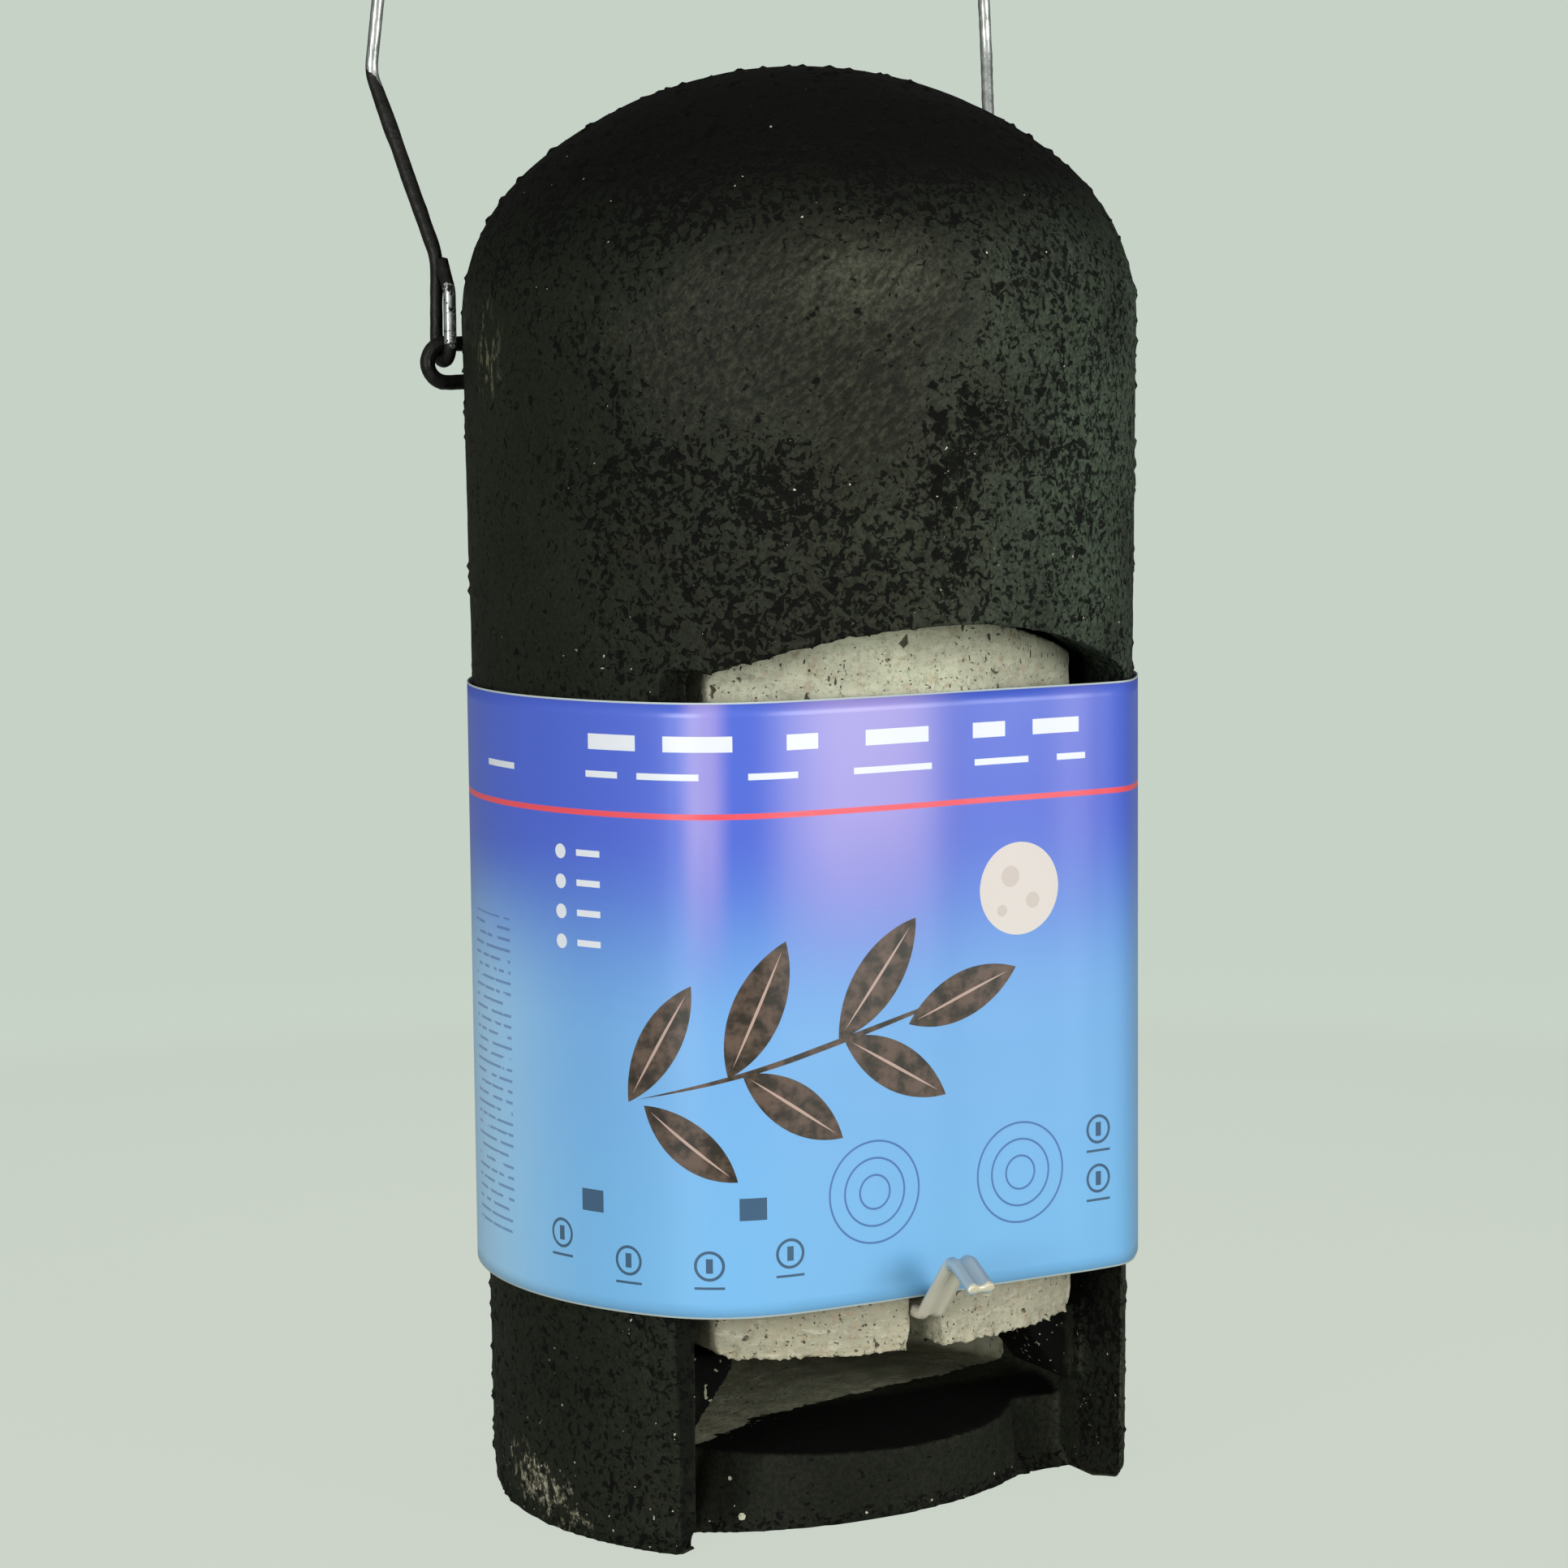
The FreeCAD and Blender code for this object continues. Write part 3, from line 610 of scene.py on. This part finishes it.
def casting_material():
    """Worn black paint outside, with dark pits, pale grains and scrapes, painted shade and painted sheen, and
    bare wood-concrete inside.
    """
    graph = Graph("painted_wood_concrete")
    dense = graph.field("dense")
    patch = graph.field("patch")
    axes = graph.axes()
    x, height = axes[0], axes[2]
    marks = graph.noise(0.85 * MM, 2.5, 0.55, distortion=0.6)
    holes = graph.noise(1.25 * MM, 2.0, 0.5, distortion=0.8)
    mottle = graph.noise(0.55 * MM, 3.0, 0.7)
    specks = graph.noise(0.8 * MM, 1.0)

    # black paint, with painted shade that darkens the left, and a painted reflection that makes the right
    # above the foot paler and greener
    paint = graph.mix(graph.ramp(x, -0.075, -0.025), linear(24, 29, 18), linear(51, 54, 42))
    # painted reflection on the right side above the foot
    right = graph.times(graph.ramp(x, -0.015, 0.045), graph.ramp(height, 0.04, 0.20))
    paint = graph.mix(right, paint, linear(68, 79, 65))
    broad = graph.ramp(graph.noise(24 * MM, 3.0), 0.62, 0.35)
    paint = graph.mix(graph.times(broad, 0.65), paint, linear(33, 35, 25))

    # the trowelled patch, with a painted sheen at its upper right, under a dome darkened with painted shade
    along = graph.turned((0.0, STROKE_ANGLE - math.pi / 2, 0.0))
    brushed = graph.noise(0.6 * MM, 3.0, 0.6, stretch=(0.9, 0.9, 0.9 / STROKE_STRETCH), place=along)
    strokes = graph.mix(graph.ramp(brushed, 0.36, 0.66), linear(18, 20, 12), linear(50, 52, 40))
    # painted highlight on the strokes, brightest at the patch's upper right
    painted_sheen = graph.mix(graph.ramp(brushed, 0.30, 0.62), linear(36, 38, 28), linear(84, 84, 70))
    strokes = graph.mix(graph.field("painted_sheen"), strokes, painted_sheen)
    paint = graph.mix(graph.times(patch, 0.85), paint, strokes)
    # painted shade: the paint turns nearly black towards the top of the dome
    paint = graph.mix(graph.ramp(height, 0.290, 0.322), paint, linear(9, 11, 6))
    paint = graph.mix(graph.times(graph.ramp(mottle, 0.58, 0.42), 0.50), paint, linear(14, 15, 11))
    # painted shade, nearly black, inside the opening
    paint = graph.mix(graph.field("painted_shade"), paint, linear(6, 7, 5))

    # dark marks and holes, more of them where the surface is densely pitted: real pits, darkened with painted
    # shade in their hollows
    limit = graph.calc("MULTIPLY_ADD", dense, -0.165, 0.700)
    dark = graph.times(graph.ramp(graph.calc("SUBTRACT", marks, limit), -0.035, 0.045), 0.92)
    limit = graph.calc("MULTIPLY_ADD", dense, -0.150, 0.738)
    dark = graph.most(dark, graph.ramp(graph.calc("SUBTRACT", holes, limit), -0.020, 0.040))
    coarse = graph.calc("MULTIPLY_ADD", graph.field("cluster"), 0.20, graph.noise(1.7 * MM, 2.0, 0.5))
    dark = graph.most(dark, graph.ramp(coarse, 0.70, 0.75))
    dark = graph.most(dark, graph.times(graph.ramp(graph.field("pit"), 0.50, 0.90), 0.92))
    paint = graph.mix(graph.times(dark, 0.93), paint, linear(6, 7, 6))

    # pale grains that the paint missed: in the coarse spots, below the arch's height and on the ledges
    crumbs = graph.field("crumbs")
    often = graph.most(graph.field("cluster"), graph.times(graph.ramp(height, 0.236, 0.204), 0.45))
    often = graph.most(often, graph.times(crumbs, 1.35))
    limit = graph.calc("MULTIPLY_ADD", often, -0.075, 0.795)
    grain = graph.ramp(graph.calc("SUBTRACT", specks, limit), 0.0, 0.02)
    grain = graph.times(grain, graph.ramp(graph.most(dense, crumbs), 0.15, 0.6))
    paint = graph.mix(grain, paint, graph.mix(crumbs, linear(176, 176, 160), linear(140, 140, 116)))

    # pale scrapes on the left cheek's foot and beside the eye, and fine scratches above the sleeve
    scuff = graph.field("scuff")
    streaks = graph.noise(1.1 * MM, 4.0, 0.70, stretch=(1.0, 1.0, 0.70))
    scraped = graph.ramp(graph.calc("MULTIPLY_ADD", scuff, 0.20, streaks), 0.60, 0.74)
    scraped = graph.times(scraped, graph.ramp(scuff, 0.08, 0.4))
    fine = graph.noise(0.9 * MM, 4.0, 0.65, stretch=(1.0, 1.0, 0.40))
    glint = graph.times(graph.ramp(fine, 0.52, 0.68), graph.ramp(graph.field("eye_scrape"), 0.15, 0.8))
    scrape = graph.mix(graph.ramp(mottle, 0.42, 0.62), linear(92, 88, 66), linear(186, 182, 160))
    paint = graph.mix(graph.times(scraped, 0.75), paint, scrape)
    paint = graph.mix(graph.times(glint, 0.55), paint, linear(122, 122, 98))
    scratches = graph.noise(0.5 * MM, 1.0, stretch=(1.0, 1.0, 0.05))
    scratched = graph.times(graph.ramp(scratches, 0.72, 0.76), graph.ramp(graph.field("scratch"), 0.3, 0.7))
    paint = graph.mix(graph.times(scratched, 0.5), paint, linear(110, 112, 104))
    for spot, radius in FLOOR_CHIPS:
        inputs = {0: graph.place, 1: [value * MM for value in spot]}
        near = graph.add("ShaderNodeVectorMath", inputs, operation="DISTANCE").outputs["Value"]
        near = graph.calc("MULTIPLY_ADD", mottle, 0.8 * MM, near)
        chip = graph.calc("LESS_THAN", near, (radius + 0.4) * MM)
        paint = graph.mix(chip, paint, linear(196, 196, 172))

    # unpainted wood-concrete inside
    blotch = graph.ramp(graph.noise(3 * MM, 4.0), 0.35, 0.7)
    bare_color = graph.mix(blotch, linear(146, 147, 122), linear(176, 176, 152))
    wander = graph.calc("MULTIPLY_ADD", graph.noise(3.0 * MM, 4.0, 0.65), 7.0, -3.5)
    bare = graph.ramp(graph.calc("ADD", graph.field("bare"), wander), -0.25, 0.35)
    color = graph.mix(bare, paint, bare_color)

    rough = graph.calc("MULTIPLY_ADD", patch, -0.10, 0.62)
    rough = graph.calc("MULTIPLY_ADD", graph.most(dark, graph.field("painted_shade")), 0.3, rough, clamp=True)
    graph.coat(color, rough)
    graph.shader.inputs["Specular IOR Level"].default_value = 0.10
    grit = graph.noise(0.45 * MM, 2.0)
    pebbles = graph.times(graph.noise(1.3 * MM, 3.0, 0.65), graph.calc("SUBTRACT", 1.15, patch))
    relief = graph.calc("MULTIPLY_ADD", graph.times(brushed, patch), 1.20, graph.times(grit, 0.30))
    relief = graph.calc("MULTIPLY_ADD", pebbles, 0.70, relief)
    graph.bump(graph.calc("MULTIPLY_ADD", dark, -0.9, relief), 0.45 * MM)
    return graph.material


# The panel

def make_panel():
    voxel = PANEL_VOXEL
    piece = recast("front_panel", "panel", voxel, "box")
    mesh = piece.data
    points = points_of(mesh)
    normals = normals_of(mesh)
    z = points[:, 2] / MM
    pits = step_up(0.52, 0.8, layered(drifted(points, 3 * MM, 1.2, 121), 3.0 * MM, 2, 131))
    lumps = 0.5 + 0.5 * layered(points, 6 * MM, 3, 141)
    # coarse fibres stand out where the lower and the upper edge are ragged
    ragged = step_up(50, 45, z) * 1.25 + 0.6 * step_up(208, 214, z)
    fibre = 0.5 + 0.5 * layered(points * np.array([1.0, 1.0, 0.5]), 1.6 * MM, 2, 151)
    depth = 0.1 + 0.35 * lumps + 0.4 * pits + ragged * 1.3 * fibre
    points = points - normals * (depth * MM)[:, None]
    set_points(mesh, points)
    set_field(mesh, "pit", pits)
    thinned(piece, PANEL_TRIANGLES)
    piece.data.materials.append(panel_material())


def panel_material():
    """Cream grey wood-concrete with painted shade at its foot, darkest on the left, and a painted shadow of
    the sleeve in a band below it, with fibres, rust and dark chips.
    """
    graph = Graph("bare_wood_concrete")
    axes = graph.axes()
    height = axes[2]
    broad = graph.noise(9 * MM, 4.0, 0.6)
    fine = graph.noise(0.9 * MM, 4.0, 0.75)
    fibres = graph.noise(0.8 * MM, 3.0, 0.6, stretch=(0.30, 0.30, 1.0), distortion=0.5)
    # painted shade: the foot is darker, most on the left
    foot = graph.mix(graph.ramp(axes[0], -0.030, 0.020), linear(166, 162, 138), linear(188, 183, 159))
    base = graph.mix(graph.ramp(height, 0.060, 0.20), foot, linear(190, 193, 167))
    # painted shadow of the sleeve, in a band just below its lower edge
    shaded = graph.times(graph.ramp(height, 0.047, 0.056), graph.ramp(height, 0.10, 0.07))
    base = graph.mix(graph.times(shaded, 0.45), base, linear(112, 110, 90))
    base = graph.mix(graph.times(graph.ramp(broad, 0.38, 0.66), 0.65), base, linear(152, 150, 130))
    base = graph.mix(graph.times(graph.ramp(fibres, 0.52, 0.68), 0.32), base, linear(212, 206, 186))
    rust = graph.ramp(graph.noise(1.3 * MM, 3.0, 0.6), 0.56, 0.68)
    base = graph.mix(graph.times(rust, 0.35), base, linear(168, 132, 104))
    base = graph.mix(graph.times(graph.ramp(fine, 0.48, 0.66), 0.50), base, linear(126, 118, 98))
    # dark chips, drawn down like drips under the arch
    chips = graph.ramp(graph.noise(0.9 * MM, 2.0, 0.5, stretch=(1.0, 1.0, 0.42)), 0.675, 0.715)
    chips = graph.times(chips, graph.ramp(height, 0.10, 0.20))
    small = graph.ramp(graph.noise(0.50 * MM, 2.0, 0.5), 0.66, 0.72)
    dark = graph.most(graph.most(chips, small), graph.ramp(graph.field("pit"), 0.55, 1.0))
    color = graph.mix(graph.times(dark, 0.9), base, linear(42, 37, 26))
    graph.coat(color, 0.9)
    graph.shader.inputs["Specular IOR Level"].default_value = 0.25
    graph.bump(graph.calc("SUBTRACT", graph.calc("ADD", fine, fibres), dark), 0.45 * MM)
    return graph.material


# Wires and strip

# Places in metres where the hanger's paint ends, and where the strip's fold and its cut end begin
LEFT_PAINT_TOP = 0.3460
LEFT_KINK_X = -0.0873
PAINT_SLANT = 1.3
RIGHT_PAINT_TOP = 0.2950
WORN_PATCH_Z = 0.2880
STRIP_FOLD_Y = (-0.0762, -0.0775)
STRIP_END_Y = (-0.0868, -0.0874)


def make_wire(node, name, body, lump, material):
    """Wire of the CAD model as a piece, with lumps that are up to lump millimetres deep."""
    piece = recast(node, name, WIRE_VOXEL, body)
    mesh = piece.data
    points = points_of(mesh)
    normals = normals_of(mesh)
    lumps = 0.5 + 0.5 * layered(points, 5 * MM, 3, 211)
    points = points - normals * ((lump * lumps - paint_coat(points)) * MM)[:, None]
    set_points(mesh, points)
    piece.data.materials.append(material)


def paint_coat(points):
    """Thickness in millimetres of the lumpy paint on the hanger's left leg."""
    z = points[:, 2] / MM
    leg = step_up(298, 306, z) * step_up(347, 338, z) * step_up(-74, -78, points[:, 0] / MM)
    return leg * (0.22 + 0.16 * noise(points, 6 * MM, 215))


def black_wire_material():
    graph = Graph("painted_wire_black")
    blotch = graph.noise(2.5 * MM, 3.0)
    color = graph.mix(graph.ramp(blotch, 0.3, 0.75), linear(8, 8, 6), linear(26, 26, 22))
    graph.coat(color, graph.calc("MULTIPLY_ADD", blotch, 0.35, 0.30))
    graph.shader.inputs["Specular IOR Level"].default_value = 0.22
    graph.bump(graph.noise(0.9 * MM, 3.0), 0.25 * MM)
    return graph.material


def bail_material():
    """Bright wire with black paint on the lower left leg and a worn patch on its hook."""
    graph = Graph("bail_wire_part_painted")
    x, y, z = graph.axes()
    # the paint ends on a slant at the left kink, and covers the right hook only
    wobble = graph.calc("MULTIPLY_ADD", graph.noise(1.5 * MM, 3.0), 0.004, -0.002)
    slanted = graph.calc("ADD", graph.calc("MULTIPLY_ADD", x, PAINT_SLANT, z), wobble)
    left_paint = graph.calc("LESS_THAN", slanted, LEFT_PAINT_TOP + PAINT_SLANT * LEFT_KINK_X)
    right_paint = graph.calc("LESS_THAN", graph.calc("ADD", z, wobble), RIGHT_PAINT_TOP)
    side = graph.calc("LESS_THAN", x, 0.0)
    paint = graph.add("ShaderNodeMix", {0: side, 2: right_paint, 3: left_paint}).outputs[0]
    # silver shows on the outside of the left hook's free end
    away = graph.calc("ABSOLUTE", graph.calc("SUBTRACT", z, WORN_PATCH_Z))
    away = graph.calc("MULTIPLY_ADD", graph.noise(1.4 * MM, 3.0, 0.6), 0.007, away)
    patch = graph.times(graph.ramp(away, 0.0106, 0.0102), side)
    patch = graph.times(patch, graph.ramp(graph.noise(1.1 * MM, 4.0, 0.7), 0.56, 0.52))
    patch = graph.times(patch, graph.ramp(y, 0.0345, 0.0335))
    paint = graph.calc("SUBTRACT", paint, patch, clamp=True)
    blotch = graph.noise(2.5 * MM, 3.0)
    black = graph.mix(graph.ramp(blotch, 0.3, 0.75), linear(8, 8, 6), linear(24, 24, 20))
    steel = graph.mix(graph.ramp(blotch, 0.3, 0.7), linear(150, 154, 150), linear(188, 192, 187))
    graph.coat(graph.mix(paint, steel, black), graph.calc("MULTIPLY_ADD", paint, 0.10, 0.38))
    graph.shader.inputs["Specular IOR Level"].default_value = 0.22
    graph.tree.links.new(graph.calc("SUBTRACT", 1.0, paint), graph.shader.inputs["Metallic"])
    graph.bump(graph.times(graph.noise(1.0 * MM, 3.0), paint), 0.3 * MM)
    return graph.material


def strip_material():
    """Drawn aluminium with a cream cut end, and a painted bluish reflection on the part that lies in front of
    its fold.
    """
    graph = Graph("ribbed_aluminium")
    y = graph.axes()[1]
    streak = graph.noise(0.5 * MM, 2.0, stretch=(1.0, 0.08, 0.08))
    arm = graph.mix(streak, linear(196, 190, 172), linear(216, 210, 192))
    # painted reflection: the part in front of the fold is bluer
    fold = graph.mix(streak, linear(140, 160, 172), linear(176, 194, 202))
    color = graph.mix(graph.ramp(y, *STRIP_FOLD_Y), arm, fold)
    color = graph.mix(graph.ramp(y, *STRIP_END_Y), color, linear(222, 214, 186))
    graph.coat(color, 0.45)
    graph.shader.inputs["Metallic"].default_value = 0.35
    graph.bump(streak, 0.05 * MM)
    return graph.material


# The paper sleeve

SLEEVE_RADIUS = 82.0         # millimetres, where the sleeve lies on the round body

# Outline of the sleeve in plan: degrees from the front, millimetres from the axis
SLEEVE_OUTLINE = [
    (-180, SLEEVE_RADIUS), (-60, SLEEVE_RADIUS), (-54, SLEEVE_RADIUS), (-49, 81.8), (-44, 80.8),
    (-38, 78.2), (-32, 74.6), (-26, 70.7), (-18, 66.8), (-8, 63.8), (0, 62.8), (10, 62.9), (20, 65.4),
    (30, 70.4), (38, 76.7), (43, 80.9), (47, SLEEVE_RADIUS), (52, SLEEVE_RADIUS), (180, SLEEVE_RADIUS),
]
SLEEVE_COLUMNS = 480
SLEEVE_ROWS = 40

# The print: heights in metres of the red line's middle and of the fine lines' spacing
RED_LINE_Z = 0.1735
FINE_LINE_STEP = 2.6 * MM

# Leaves: degrees from the front, height, length and width in millimetres, and turn in degrees
LEAVES = [(-52, 121, 32, 10, 60), (-47, 98, 28, 10, -38), (-36, 129, 34, 12, 66), (-30, 106, 30, 11, -34),
          (-13, 134, 34, 12, 52), (-9, 113, 32, 11, -30), (8, 128, 32, 11, 20)]


def sleeve_radius(angle):
    """Distance in metres of the sleeve from the axis, on a smooth curve through its outline."""
    index = 0
    while SLEEVE_OUTLINE[index + 1][0] < angle and index < len(SLEEVE_OUTLINE) - 2:
        index += 1
    (low, start), (high, end) = SLEEVE_OUTLINE[index:index + 2]

    def slope(here):
        if here <= 0 or here >= len(SLEEVE_OUTLINE) - 1:
            return 0.0
        (a_low, r_low), (a_high, r_high) = SLEEVE_OUTLINE[here - 1], SLEEVE_OUTLINE[here + 1]
        return (r_high - r_low) / (a_high - a_low)

    part = (angle - low) / (high - low)
    width = high - low
    first = slope(index) * width
    last = slope(index + 1) * width
    square = part * part
    cube = square * part
    radius = ((2 * cube - 3 * square + 1) * start + (cube - 2 * square + part) * first
              + (3 * square - 2 * cube) * end + (cube - square) * last)
    return min(radius, SLEEVE_RADIUS) * MM


def make_sleeve():
    """Paper sleeve, closed at the back, with the length along the sheet and the height as its UV."""
    spots = []
    length = 0.0
    for column in range(SLEEVE_COLUMNS + 1):
        angle = -180 + 360 * column / SLEEVE_COLUMNS
        reach = sleeve_radius(angle) - PAPER_THICKNESS
        turn = math.radians(angle)
        spot = Vector((reach * math.sin(turn), -reach * math.cos(turn)))
        if spots:
            length += (spot - spots[-1][0]).length
        spots.append((spot, length))
    shape = bmesh.new()
    layer = shape.loops.layers.uv.new("sheet")
    middle = length / 2
    grid = []
    for spot, along in spots:
        line = []
        for row in range(SLEEVE_ROWS + 1):
            z = PAPER_LOW_Z + (PAPER_TOP_Z - PAPER_LOW_Z) * row / SLEEVE_ROWS
            line.append((shape.verts.new((spot.x, spot.y, z)), along - middle, z))
        grid.append(line)
    for left, right in zip(grid[:-1], grid[1:]):
        for row in range(SLEEVE_ROWS):
            corners = (left[row], right[row], right[row + 1], left[row + 1])
            face = shape.faces.new([corner[0] for corner in corners])
            face.smooth = True
            for loop, corner in zip(face.loops, corners):
                loop[layer].uv = (corner[1], corner[2])
    mesh = bpy.data.meshes.new("sleeve")
    shape.to_mesh(mesh)
    shape.free()
    piece = new_piece("sleeve", mesh, "box")
    applied(piece, [("SOLIDIFY", {"thickness": PAPER_THICKNESS, "offset": 1.0})])
    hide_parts("paper_band")
    piece.data.materials.append(sleeve_material())


def sheet_along(angle):
    """Length along the sheet in metres from the front to an angle in degrees."""
    length = 0.0
    steps = 200
    before = None
    for step in range(steps + 1):
        here = angle * step / steps
        reach = sleeve_radius(here)
        spot = Vector((reach * math.sin(math.radians(here)), -reach * math.cos(math.radians(here))))
        if before:
            length += (spot - before).length
        before = spot
    return math.copysign(length, angle)


class Print:
    """Simple shapes on the sheet, as masks. Places are degrees from the front and millimetres of height."""

    def __init__(self, graph):
        self.graph = graph
        self.sheet = graph.add("ShaderNodeUVMap", uv_map="sheet").outputs[0]

    def vector(self, operation, first, second=(0.0, 0.0, 0.0)):
        return self.graph.add("ShaderNodeVectorMath", {0: first, 1: second}, operation=operation).outputs

    def disc(self, angle, z, radius, shift=(0.0, 0.0)):
        spot = (sheet_along(angle) + shift[0] * MM, (z + shift[1]) * MM, 0.0)
        away = self.vector("DISTANCE", self.sheet, spot)["Value"]
        return self.graph.calc("LESS_THAN", away, radius * MM)

    def ring(self, angle, z, radius, width):
        outer = self.disc(angle, z, radius + width / 2)
        return self.graph.calc("SUBTRACT", outer, self.disc(angle, z, radius - width / 2), clamp=True)

    def bar(self, angle, z, width, height):
        """Upright rectangle with its middle at the given place."""
        spot = (sheet_along(angle), z * MM, 0.0)
        away = self.vector("SUBTRACT", self.sheet, spot)[0]
        away = self.vector("MULTIPLY", away, (2 / (width * MM), 2 / (height * MM), 0.0))[0]
        away = self.vector("ABSOLUTE", away)[0]
        across, up = self.graph.axes(away)[:2]
        return self.graph.calc("LESS_THAN", self.graph.most(across, up), 1.0)

    def leaf(self, angle, z, length, width, turn):
        """Pointed oval between two arcs, with its long side turned in degrees from the level."""
        radius = (length ** 2 + width ** 2) / (4 * width)
        off = radius - width / 2
        across = (-math.sin(math.radians(turn)) * off, math.cos(math.radians(turn)) * off)
        first = self.disc(angle, z, radius, across)
        second = self.disc(angle, z, radius, (-across[0], -across[1]))
        return self.graph.times(first, second)

    def all_of(self, masks):
        total = masks[0]
        for mask in masks[1:]:
            total = self.graph.most(total, mask)
        return total


def sleeve_material():
    """Blue print: a deep band over a red line, and a sky that pales downwards, with plain generic shapes,
    under a painted sheen.
    """
    graph = Graph("printed_paper")
    shapes = Print(graph)
    along, height = graph.axes(shapes.sheet)[:2]
    sky = graph.mix(graph.ramp(height, 0.066, 0.130), linear(112, 173, 219), linear(110, 164, 216))
    sky = graph.mix(graph.ramp(height, 0.118, 0.172), sky, linear(72, 96, 198))
    # painted lilac sheen, a reflection of the lamps on the glossy upper part: broad at the front, narrow on
    # the left and faint on the right
    sheens = []
    for angle, far, close in ((-15, 0.030, 0.006), (-44, 0.007, 0.001), (34, 0.012, 0.002)):
        away = graph.calc("ABSOLUTE", graph.calc("ADD", along, -sheet_along(angle)))
        sheens.append(graph.ramp(away, far, close))
    broad, narrow, right = sheens
    glow = graph.most(broad, graph.most(graph.times(narrow, 0.9), graph.times(right, 0.18)))
    glow = graph.times(glow, graph.ramp(height, 0.125, 0.178))
    sky = graph.mix(graph.times(glow, 0.85), sky, linear(158, 146, 210))
    # painted sheen: the sky is paler on the left side, where the glossy paper is seen at a grazing angle
    pale = graph.ramp(along, sheet_along(-62), sheet_along(-100))
    pale = graph.times(pale, graph.ramp(along, sheet_along(-176), sheet_along(-140)))
    pale = graph.times(pale, graph.ramp(height, 0.165, 0.120))
    sky = graph.mix(graph.times(pale, 0.80), sky, linear(164, 208, 238))

    # white bars in the top band, small white signs, and fine blue lines at the left
    thick = ((-60, 13), (-45, 16), (-28, 8), (-8, 17), (15, 9), (30, 13))
    thin = ((-62, 9), (-50, 15), (-33, 12), (-9, 21), (18, 15), (33, 8), (-88, 14))
    signs = (164.0, 157.0, 150.0, 143.0)
    white = [shapes.bar(angle, 190.0, width, 3.6) for angle, width in thick]
    white += [shapes.bar(angle, 182.5, width, 1.5) for angle, width in thin]
    white += [shapes.disc(-71, z, 1.7) for z in signs]
    white += [shapes.bar(-65, z, 7, 1.5) for z in signs]
    color = graph.mix(shapes.all_of(white), sky, linear(216, 220, 226))
    row = graph.calc("LESS_THAN", graph.calc("FRACT", graph.times(height, 1 / FINE_LINE_STEP)), 0.26)
    ends = graph.calc("GREATER_THAN", graph.noise(2.2 * MM, 1.0, place=shapes.sheet), 0.44)
    column = graph.times(shapes.bar(-94, 108, 24, 76), graph.times(row, ends))
    color = graph.mix(graph.times(column, 0.55), color, linear(48, 70, 140))

    # a pale moon over brown leaves on a twig, and rings like ripples
    moon = shapes.disc(22, 152, 11)
    color = graph.mix(graph.times(moon, 0.9), color, linear(214, 204, 190))
    crater = shapes.all_of([shapes.disc(20, 155, 2.5), shapes.disc(25, 149, 1.9), shapes.disc(18, 147, 1.4)])
    color = graph.mix(graph.times(crater, 0.5), color, linear(176, 160, 150))
    grain = graph.noise(2.4 * MM, 3.0, 0.6, place=shapes.sheet)
    brown = graph.mix(graph.ramp(grain, 0.35, 0.65), linear(36, 30, 20), linear(92, 74, 62))
    leaves = [shapes.leaf(*place) for place in LEAVES]
    twig = shapes.leaf(-25, 119, 92, 1.4, 14)
    color = graph.mix(shapes.all_of(leaves + [twig]), color, brown)
    ribs = [shapes.leaf(angle, z, 0.85 * length, 0.7, turn) for angle, z, length, _, turn in LEAVES]
    color = graph.mix(shapes.all_of(ribs), color, linear(176, 150, 138))
    ripples = [shapes.ring(angle, 84, radius, 0.5) for angle in (-14, 22) for radius in (4, 8, 12)]
    color = graph.mix(graph.times(shapes.all_of(ripples), 0.75), color, linear(44, 74, 140))

    # small dark signs near the lower edge
    dark = []
    for angle, z in ((-72, 74), (-58, 70), (-44, 70), (-31, 72), (38, 92), (38, 80)):
        dark.append(shapes.ring(angle, z, 3.2, 0.7))
        dark.append(shapes.bar(angle, z, 1.6, 3.4))
        dark.append(shapes.bar(angle, z - 5.2, 7.0, 0.6))
    dark += [shapes.bar(angle, 83, 6.4, 5.2) for angle in (-65, -37)]
    color = graph.mix(graph.times(shapes.all_of(dark), 0.8), color, linear(24, 32, 52))

    # the red line, the paper's pale cut edges, and a thin dark line where its ends meet at the back
    line = graph.ramp(graph.calc("ABSOLUTE", graph.calc("SUBTRACT", height, RED_LINE_Z)), 0.0008, 0.0005)
    color = graph.mix(line, color, linear(226, 76, 88))
    top = graph.ramp(height, PAPER_TOP_Z - 0.5 * MM, PAPER_TOP_Z - 0.3 * MM)
    low = graph.ramp(height, PAPER_LOW_Z + 0.5 * MM, PAPER_LOW_Z + 0.3 * MM)
    color = graph.mix(graph.most(top, low), color, linear(196, 208, 206))
    end = sheet_along(180)
    seam = graph.ramp(graph.calc("ABSOLUTE", along), end - 0.6 * MM, end - 0.4 * MM)
    color = graph.mix(graph.times(seam, 0.7), color, linear(30, 50, 110))
    graph.coat(color, 0.30)
    graph.bump(graph.noise(30 * MM, 2.0), 0.4 * MM)
    return graph.material


def make_wires():
    black = black_wire_material()
    for side in ("left", "right"):
        make_wire(side + "_eye", side + "_staple", "box", 0.3, black)
    make_wire("bail", "hanger_wire", "hanger", 0.12, bail_material())
    piece = recast("latch_strip", "ribbed_strip", STRIP_VOXEL, "box")
    piece.data.materials.append(strip_material())


bpy.context.scene.view_settings.view_transform = "Standard"
place_camera()
make_stage()
make_world()
make_lamp("key", (-2.1, -1.4, 0.55), 34)
make_lamp("fill", (1.0, -2.1, 0.50), 27)
make_housing()
make_panel()
make_wires()
make_sleeve()
